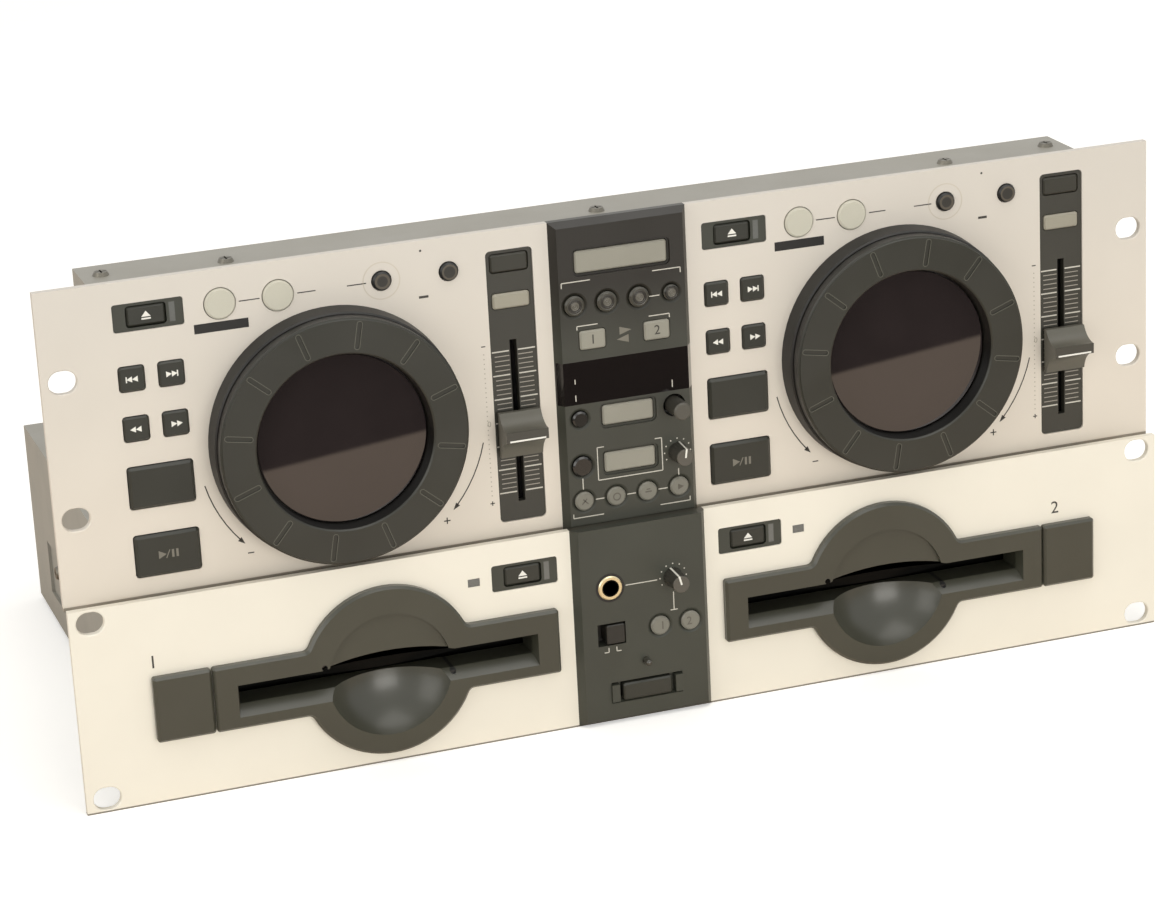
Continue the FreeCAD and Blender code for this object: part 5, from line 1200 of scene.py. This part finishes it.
@dataclass
class KeySigns:
    """The signs on the key caps, each riding on its own key and placed from its middle.

    Attributes:
        head_length: The length of a triangle of the eject, skip and search signs.
        skip_height: The height of the skip and search signs.
        skip_shift: How far a bar at their end moves the triangles the other way.
        skip_bar: How far out that bar is, and its width.
        eject_width: The width of the eject sign.
        eject_head_z: The height of its triangle's middle.
        eject_bar: The height of its bar's middle, and the bar's own height.
        play_head: The x, length and height of the play sign.
        slash: The ends of the line between the play sign and the pause sign.
        slash_width: The width of that line.
        pause_columns: The x of the pause sign's bars.
        pause_size: The width and height of those bars.
        stroke: The width of the mix mode signs' lines.
        cross_lines: The two lines of the first mix mode sign.
        mode_columns: The x of the other three mix mode signs.
        mode_ring: The radius of the second sign.
        mode_bars: The height, length and width of each bar of the third sign.
        mode_head: The length and width of the fourth sign.
    """

    head_length: float = 2.3
    skip_height: float = 2.5
    skip_shift: float = 0.35
    skip_bar: Spot = (2.35, 0.5)
    eject_width: float = 3.8
    eject_head_z: float = 0.25
    eject_bar: Spot = (-1.35, 0.65)
    play_head: Triple = (-2.9, 3.2, 3.4)
    slash: tuple[Spot, Spot] = ((-0.9, -1.7), (0.7, 1.7))
    slash_width: float = 0.4
    pause_columns: Spot = (1.9, 3.7)
    pause_size: Spot = (0.95, 3.3)
    stroke: float = 0.5
    cross_lines: Paths = (((-22.4, -1.1), (-20.2, 1.1)), ((-21.9, 1.1), (-19.7, -1.1)))
    mode_columns: Triple = (-7.0, 7.0, 21.1)
    mode_ring: float = 1.5
    mode_bars: tuple[Triple, Triple] = ((0.0, 2.8, 0.6), (1.1, 1.6, 0.5))
    mode_head: Spot = (2.6, 2.6)

    def eject(self, node: str) -> None:
        """Prints the eject sign: a triangle over a bar.

        Args:
            node: The key's node.
        """
        pad = pad_on(node, "sign", WHITE_INK)
        pad.arrow(0.0, self.eject_head_z, self.head_length, self.eject_width, 90.0)
        pad.bar(0.0, self.eject_bar[0], self.eject_width, self.eject_bar[1])
        pad.lay()

    def skip(self, node: str, way: int, barred: bool) -> None:
        """Prints two triangles that point one way, with or without a bar at their end.

        Args:
            node: The key's node.
            way: 1 where they point right and -1 where they point left.
            barred: Whether there is a bar.
        """
        pad = pad_on(node, "sign", WHITE_INK)
        turn = 0.0 if way > 0 else 180.0
        shift = -self.skip_shift * way if barred else 0.0
        for side in (-1, 1):
            pad.arrow(shift + side * self.head_length / 2, 0.0, self.head_length, self.skip_height,
                      turn)
        if barred:
            pad.bar(way * self.skip_bar[0], 0.0, self.skip_bar[1], self.skip_height)
        pad.lay()

    def play(self, node: str) -> None:
        """Prints the play and pause sign in grey.

        Args:
            node: The key's node.
        """
        pad = pad_on(node, "sign", GREY_INK)
        head_x, length, height = self.play_head
        pad.arrow(head_x, 0.0, length, height, 0.0)
        pad.line(*self.slash, self.slash_width)
        for x in self.pause_columns:
            pad.bar(x, 0.0, *self.pause_size)
        pad.lay()

    def pair(self, node: str, half_pitch: float, height: float, ink: Finish) -> None:
        """Prints 1 and 2 on the two caps of a pair of keys.

        Args:
            node: The pair's node.
            half_pitch: From the pair's middle to a cap's.
            height: The numerals' height.
            ink: The ink of the numerals.
        """
        pad = pad_on(node, "sign", ink)
        for text, side in (("1", -1), ("2", 1)):
            pad.numeral(text, side * half_pitch, 0.0, height)
        pad.lay()

    def modes(self) -> None:
        """Prints a cross, a ring, two bars and a triangle on the mix mode keys."""
        ring_x, bars_x, arrow_x = self.mode_columns
        pad = pad_on("mix_mode_keys", "sign", DULL_INK)
        pad.paths(self.cross_lines, self.stroke)
        pad.arc(ring_x, 0.0, self.mode_ring, self.stroke)
        for z, length, width in self.mode_bars:
            pad.bar(bars_x, z, length, width)
        pad.arrow(arrow_x, 0.0, *self.mode_head, 0.0)
        pad.lay()

    def build(self) -> None:
        """Prints every sign."""
        for deck in DECK_CENTRES:
            self.eject(f"eject_key_{deck}")
            self.eject(f"player_eject_key_{deck}")
            for kind, barred in (("track", True), ("search", False)):
                self.skip(f"{kind}_back_key_{deck}", -1, barred)
                self.skip(f"{kind}_forward_key_{deck}", 1, barred)
            self.play(f"play_key_{deck}")
        self.pair("deck_select_keys", 14.05, 4.0, DARK_INK)
        self.pair("monitor_select_keys", 6.0, 3.6, DULL_INK)
        self.modes()


@dataclass
class FaderLine:
    """The white line across the crest of a fader's cap.

    Attributes:
        deck: The deck's number.
        length: The line's length in millimetres.
        width: Its width in millimetres.
    """

    deck: int
    length: float = 15.5
    width: float = 0.7

    def build(self) -> None:
        """Prints the line on the cap."""
        pad = pad_on(f"tempo_fader_{self.deck}", "line", WHITE_INK)
        pad.bar(0.0, 0.0, self.length, self.width)
        pad.lay()


@dataclass
class JogGrooveHighlights:
    """Thin pale lines round the finger marks of a jog wheel, which ride on the wheel: a painted highlight
    on the edges of the grooves.

    Attributes:
        deck: The deck's number.
        rest_turn: How far the first mark stands from straight up, in degrees clockwise.
        count: How many marks there are.
        front: Where the wheel's face is, along Y, in millimetres.
        middle: The radius of a mark's middle, in millimetres.
        length: A mark's length in millimetres.
        breadth: A mark's breadth in millimetres.
        hair: The width of the painted highlight lines in millimetres.
    """

    deck: int
    rest_turn: float
    count: int = 12
    front: float = -132.75
    middle: float = 44.5
    length: float = 11.4
    breadth: float = 1.9
    hair: float = 0.28

    def build(self) -> None:
        """Prints the painted groove highlights on the wheel."""
        pad = pad_on(f"jog_wheel_{self.deck}", "groove_highlights", GROOVE_HIGHLIGHT_INK, self.front)
        for index in range(self.count):
            turn = 90.0 - self.rest_turn - index * FULL_TURN / self.count
            angle = math.radians(turn)
            pad.stadium(self.middle * math.cos(angle), self.middle * math.sin(angle), self.length,
                        self.breadth, turn, self.hair)
        pad.lay()


# ------------------------------------------------------------------------------ dressing
@dataclass
class Dressing:
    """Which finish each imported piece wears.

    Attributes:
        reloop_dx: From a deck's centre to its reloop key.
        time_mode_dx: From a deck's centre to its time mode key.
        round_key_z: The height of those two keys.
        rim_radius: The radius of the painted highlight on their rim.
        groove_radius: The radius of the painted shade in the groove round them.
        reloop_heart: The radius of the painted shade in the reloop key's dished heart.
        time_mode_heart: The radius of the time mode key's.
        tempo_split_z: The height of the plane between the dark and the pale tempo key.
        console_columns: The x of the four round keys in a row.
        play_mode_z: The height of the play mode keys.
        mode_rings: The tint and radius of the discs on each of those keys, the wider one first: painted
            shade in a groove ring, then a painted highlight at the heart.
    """

    reloop_dx: float = 23.1
    time_mode_dx: float = 51.3
    round_key_z: float = CONTROL_BASE + 118.2
    rim_radius: float = 3.2
    groove_radius: float = 5.0
    reloop_heart: float = 2.2
    time_mode_heart: float = 2.4
    tempo_split_z: float = CONTROL_BASE + 110.0
    console_columns: tuple[float, ...] = (-21.1, -7.0, 7.0, 21.1)
    play_mode_z: float = CONTROL_BASE + 97.2
    # painted shade in a groove ring and a painted highlight at the heart of each play mode key
    mode_rings: tuple[tuple[Triple, float], ...] = (((40, 38, 33), 3.0), ((92, 89, 80), 1.8))

    def fixed(self) -> dict[str, Finish]:
        """The finishes of the pieces that there is one of.

        Returns:
            The finish for each node.
        """
        caps = tuple((x, self.play_mode_z) for x in self.console_columns)
        mode_keys = RingedFinish("ringed_mode_key", (66, 64, 56), roughness=0.34, grain=0.3,
                                 centres=caps, coat=0.2,
                                 zones=tuple(RingZone(tint, x=x, z=z, outer=outer)
                                             for tint, outer in self.mode_rings for x, z in caps))
        worn = {
            DESK_PANEL: "control_panel", PLAYER_PANEL: "player_panel",
            CASE: "control_back_cover control_end_caps player_chassis player_top_cover",
            DESK_CONSOLE: "control_console", MOULDING: "player_console eject_pockets",
            BEZEL: "slot_bezels", WHEEL_BASE: "jog_bases", BED: "fader_beds",
            GLASS: "smoked_windows", LENS: "indicator_lenses", BOARD: "circuit_boards",
            SHEET_METAL: "disc_drives", BLACK: "rear_sockets", GILT: "phones_jack",
            STEEL: "case_screws encoder_plunger", KNOB: "encoder_knob",
            MIX_KNOB: "mix_time_knob", MONITOR_KNOB: "monitor_knob",
            SWITCH: "output_switch", DARK_KEY: "power_key",
            PALE_KEY: "auto_mix_key tempo_sync_key short_time_key deck_select_keys",
            ROUND_KEY: "mix_mode_keys monitor_select_keys",
            mode_keys: "play_mode_keys", GLOSS_KEY: "next_key instant_change_key",
        }
        return {name: finish for finish, names in worn.items() for name in names.split()}

    def round_key(self, x: float, heart: float) -> tuple[Zone, ...]:
        """The zones of a round key: a painted highlight on its rim, and painted shade in its dished heart
        and in the groove round it.

        Args:
            x: Where the key's axis is along X.
            heart: The heart's radius.

        Returns:
            The zones, from the lowest to the topmost.
        """
        z, rim = self.round_key_z, self.rim_radius
        return (RingZone(CAP_RIM_HIGHLIGHT, x=x, z=z, outer=rim), RingZone(CAP_HEART_SHADE, x=x, z=z, outer=heart),
                RingZone(SHADED, x=x, z=z, inner=rim, outer=self.groove_radius))

    def per_deck(self, deck: int) -> dict[str, Finish]:
        """The finishes of one deck's own pieces.

        Args:
            deck: The deck's number.

        Returns:
            The finish for each node.
        """
        centre = DECK_CENTRES[deck]
        loops = ZonedFinish(f"loop_keys_of_deck_{deck}", (195, 192, 177), roughness=0.4, drift=0.02,
                            zones=(BoxZone(DARK_CAP, over=((Axis.X, centre),)),
                                   *self.round_key(centre + self.reloop_dx, self.reloop_heart)))
        times = ZonedFinish(f"time_mode_key_of_deck_{deck}", DARK_CAP, roughness=0.4,
                            zones=self.round_key(centre + self.time_mode_dx, self.time_mode_heart))
        tempo = ZonedFinish("tempo_key_pair", (154, 149, 134), roughness=0.4, drift=0.03,
                            zones=(BoxZone((50, 49, 41), over=((Axis.Z, self.tempo_split_z),)),))
        worn = {"loop_keys": loops, "tempo_keys": tempo, "time_mode_key": times,
                "jog_wheel": WHEEL, "tempo_fader": FADER_CAP}
        for key in ("track_back_key", "track_forward_key", "search_back_key", "search_forward_key",
                    "cue_key", "play_key", "eject_key", "player_eject_key"):
            worn[key] = DARK_KEY
        return {f"{name}_{deck}": finish for name, finish in worn.items()}

    def build(self) -> None:
        """Puts each finish on its piece, and reports a piece that was left out."""
        worn = self.fixed()
        for deck in DECK_CENTRES:
            worn.update(self.per_deck(deck))
        for name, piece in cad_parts.items():
            if name not in worn:
                LOG.warning("%s has no finish", name)
                continue
            material = worn[name].make()
            if piece.material_slots:
                for slot in piece.material_slots:
                    slot.material = material
            else:
                piece.data.materials.append(material)
            LOG.info("%s wears %s", name, material.name)


# ------------------------------------------------------------------------------ studio
@dataclass
class Lamp:
    """A soft rectangular lamp.

    Attributes:
        name: The lamp's name.
        place: Where it stands, in metres.
        size: Its width and height in metres.
        watts: Its power.
        aim: What it points at, in metres.
        tint: Its display colour.
    """

    name: str
    place: Triple
    size: Spot
    watts: float
    aim: Triple = (0.0, -0.12, 0.12)
    tint: Triple = (255, 252, 246)

    def build(self) -> None:
        """Puts the lamp in the scene."""
        data = bpy.data.lights.new(self.name, "AREA")
        data.shape = "RECTANGLE"
        data.size, data.size_y = self.size
        data.energy = self.watts
        data.color = linear(self.tint)[:3]
        lamp = placed(self.name, data)
        lamp.location = self.place
        heading = Vector(self.aim) - Vector(self.place)
        lamp.rotation_euler = heading.to_track_quat("-Z", "Y").to_euler()


@dataclass
class Studio:
    """The pale floor, the white surroundings, the lamps and the camera.

    Attributes:
        world_tint: The surroundings' display colour as light.
        world_level: How strongly the surroundings light the object.
        floor_size: The floor's side in metres.
        floor_tint: The floor's display colour.
        floor_dip: How far that tint drifts down.
        floor_drift: The size of that drift in millimetres.
        floor_lift: What the floor adds to reach white in the open, seen by the camera.
        table_end: How far in front of the machine reflections find the pale floor's end, in metres.
        table_slant: How far that end slants, in degrees clockwise from above.
        table_corner: The x where the end has a corner, in metres.
        table_step: How much nearer the end is to the right of that corner, in metres.
        table_soft: Half the width of the end's blur, in metres.
        table_glow: The pale floor's display colour in reflections.
        table_dark: The display colour beyond the floor's end in reflections.
        eye: Where the camera stands, in metres.
        right: The camera's right.
        down: The camera's down.
        ahead: The camera's heading.
        lens: Its focal length in millimetres.
        sensor: The width of its sensor in millimetres.
        near: The nearest distance that it sees, in metres.
        far: The farthest, in metres.
    """

    world_tint: Triple = (255, 253, 249)
    world_level: float = 0.64
    floor_size: float = 9.0
    floor_tint: Triple = (240, 239, 236)
    floor_dip: int = 2
    floor_drift: float = 180.0
    floor_lift: float = 0.42
    table_end: float = -0.535
    table_slant: float = 15.6
    table_corner: float = 0.045
    table_step: float = 0.076
    table_soft: float = 0.003
    table_glow: Triple = (244, 222, 202)
    table_dark: Triple = (30, 27, 27)
    eye: Triple = (-0.46299, -1.46636, 0.59800)
    right: Triple = (0.943304, -0.328304, -0.048934)
    down: Triple = (-0.149760, -0.289383, -0.945426)
    ahead: Triple = (0.296227, 0.899152, -0.322143)
    lens: float = 110.977
    sensor: float = 36.0
    near: float = 0.05
    far: float = 50.0

    def surroundings(self) -> None:
        """Makes the world: plain white where it is seen or reflected, and a softer level as light."""
        world = bpy.data.worlds.new("white_surroundings")
        bpy.context.scene.world = world
        bench = NodeBench(world, "ShaderNodeOutputWorld")
        light = bench.add("ShaderNodeBackground")
        light.inputs["Color"].default_value = linear(self.world_tint)
        light.inputs["Strength"].default_value = self.world_level
        seen = bench.add("ShaderNodeBackground")
        seen.inputs["Color"].default_value = (1.0, 1.0, 1.0, 1.0)
        mix = bench.add("ShaderNodeMixShader")
        path = bench.add("ShaderNodeLightPath")
        plain = path.outputs["Is Camera Ray"]
        for name in ("Is Glossy Ray", "Is Transmission Ray"):
            plain = bench.math("MAXIMUM", plain, path.outputs[name])
        bench.link(plain, mix.inputs["Fac"])
        bench.link(light.outputs[0], mix.inputs[1])
        bench.link(seen.outputs[0], mix.inputs[2])
        bench.link(mix.outputs[0], bench.output.inputs["Surface"])

    def floor(self) -> None:
        """Lays the pale floor, which keeps the machine's shadow and ends dark in reflections."""
        mesh = bmesh.new()
        bmesh.ops.create_grid(mesh, x_segments=1, y_segments=1, size=self.floor_size / 2)
        data = bpy.data.meshes.new("studio_floor")
        mesh.to_mesh(data)
        mesh.free()
        ground = placed("studio_floor", data)
        bench = SurfaceBench("pale_floor")
        matt = bench.add("ShaderNodeBsdfDiffuse")
        drift = bench.ranged(bench.noise(self.floor_drift), 0.0, 1.0)
        low = tuple(part - self.floor_dip for part in self.floor_tint)
        pale = bench.blend(drift, low, self.floor_tint)
        path = bench.add("ShaderNodeLightPath")
        mirrored = path.outputs["Is Glossy Ray"]
        place = bench.axes()
        slanted = bench.math("MULTIPLY", place[Axis.X], math.tan(math.radians(self.table_slant)))
        corner = bench.math("GREATER_THAN", place[Axis.X], self.table_corner)
        stepped = bench.math("MULTIPLY", corner, self.table_step)
        reach = bench.math("SUBTRACT", bench.math("ADD", place[Axis.Y], slanted), stepped)
        ended = bench.ranged(reach, 1.0, 0.0, self.table_end - self.table_soft,
                             self.table_end + self.table_soft)
        warm = bench.blend(mirrored, pale, self.table_glow)
        dark = bench.math("MULTIPLY", ended, mirrored)
        bench.link(bench.blend(dark, warm, self.table_dark), matt.inputs["Color"])
        glow = bench.add("ShaderNodeEmission")
        bench.link(bench.math("MULTIPLY", path.outputs["Is Camera Ray"], self.floor_lift),
                   glow.inputs["Strength"])
        total = bench.add("ShaderNodeAddShader")
        bench.link(matt.outputs[0], total.inputs[0])
        bench.link(glow.outputs[0], total.inputs[1])
        bench.link(total.outputs[0], bench.output.inputs["Surface"])
        data.materials.append(bench.material)

    def camera(self) -> None:
        """Places the camera."""
        data = bpy.data.cameras.new("studio_camera")
        data.sensor_fit = "HORIZONTAL"
        data.sensor_width = self.sensor
        data.lens = self.lens
        data.clip_start = self.near
        data.clip_end = self.far
        camera = placed("studio_camera", data)
        turn = Matrix((self.right, [-part for part in self.down], [-part for part in self.ahead]))
        camera.matrix_world = Matrix.Translation(self.eye) @ turn.transposed().to_4x4()
        bpy.context.scene.camera = camera

    def build(self) -> None:
        """Sets up everything that isn't the object."""
        bpy.context.scene.view_settings.view_transform = "Standard"
        self.surroundings()
        self.floor()
        for lamp in (Lamp("overhead_lamp", (0.25, -0.4, 1.8), (1.6, 1.2), 9.5),
                     Lamp("left_lamp", (-2.0, -1.0, 0.8), (1.2, 1.4), 8.5),
                     Lamp("front_fill", (0.2, -2.0, 0.3), (1.2, 0.8), 14.0)):
            lamp.build()
        self.camera()


def main() -> None:
    """Builds the dressed machine and its studio, in order."""
    logging.basicConfig(level=logging.INFO, format="%(name)s: %(message)s")
    Dressing().build()
    for deck in DECK_CENTRES:
        DeckFace(deck).build()
        FaderLine(deck).build()
    UpperConsoleFace().build()
    LowerConsoleFace().build()
    KeySigns().build()
    for deck, turn in WHEEL_TURNS.items():
        JogGrooveHighlights(deck, turn).build()
    Studio().build()


if __name__ == "__main__":
    main()
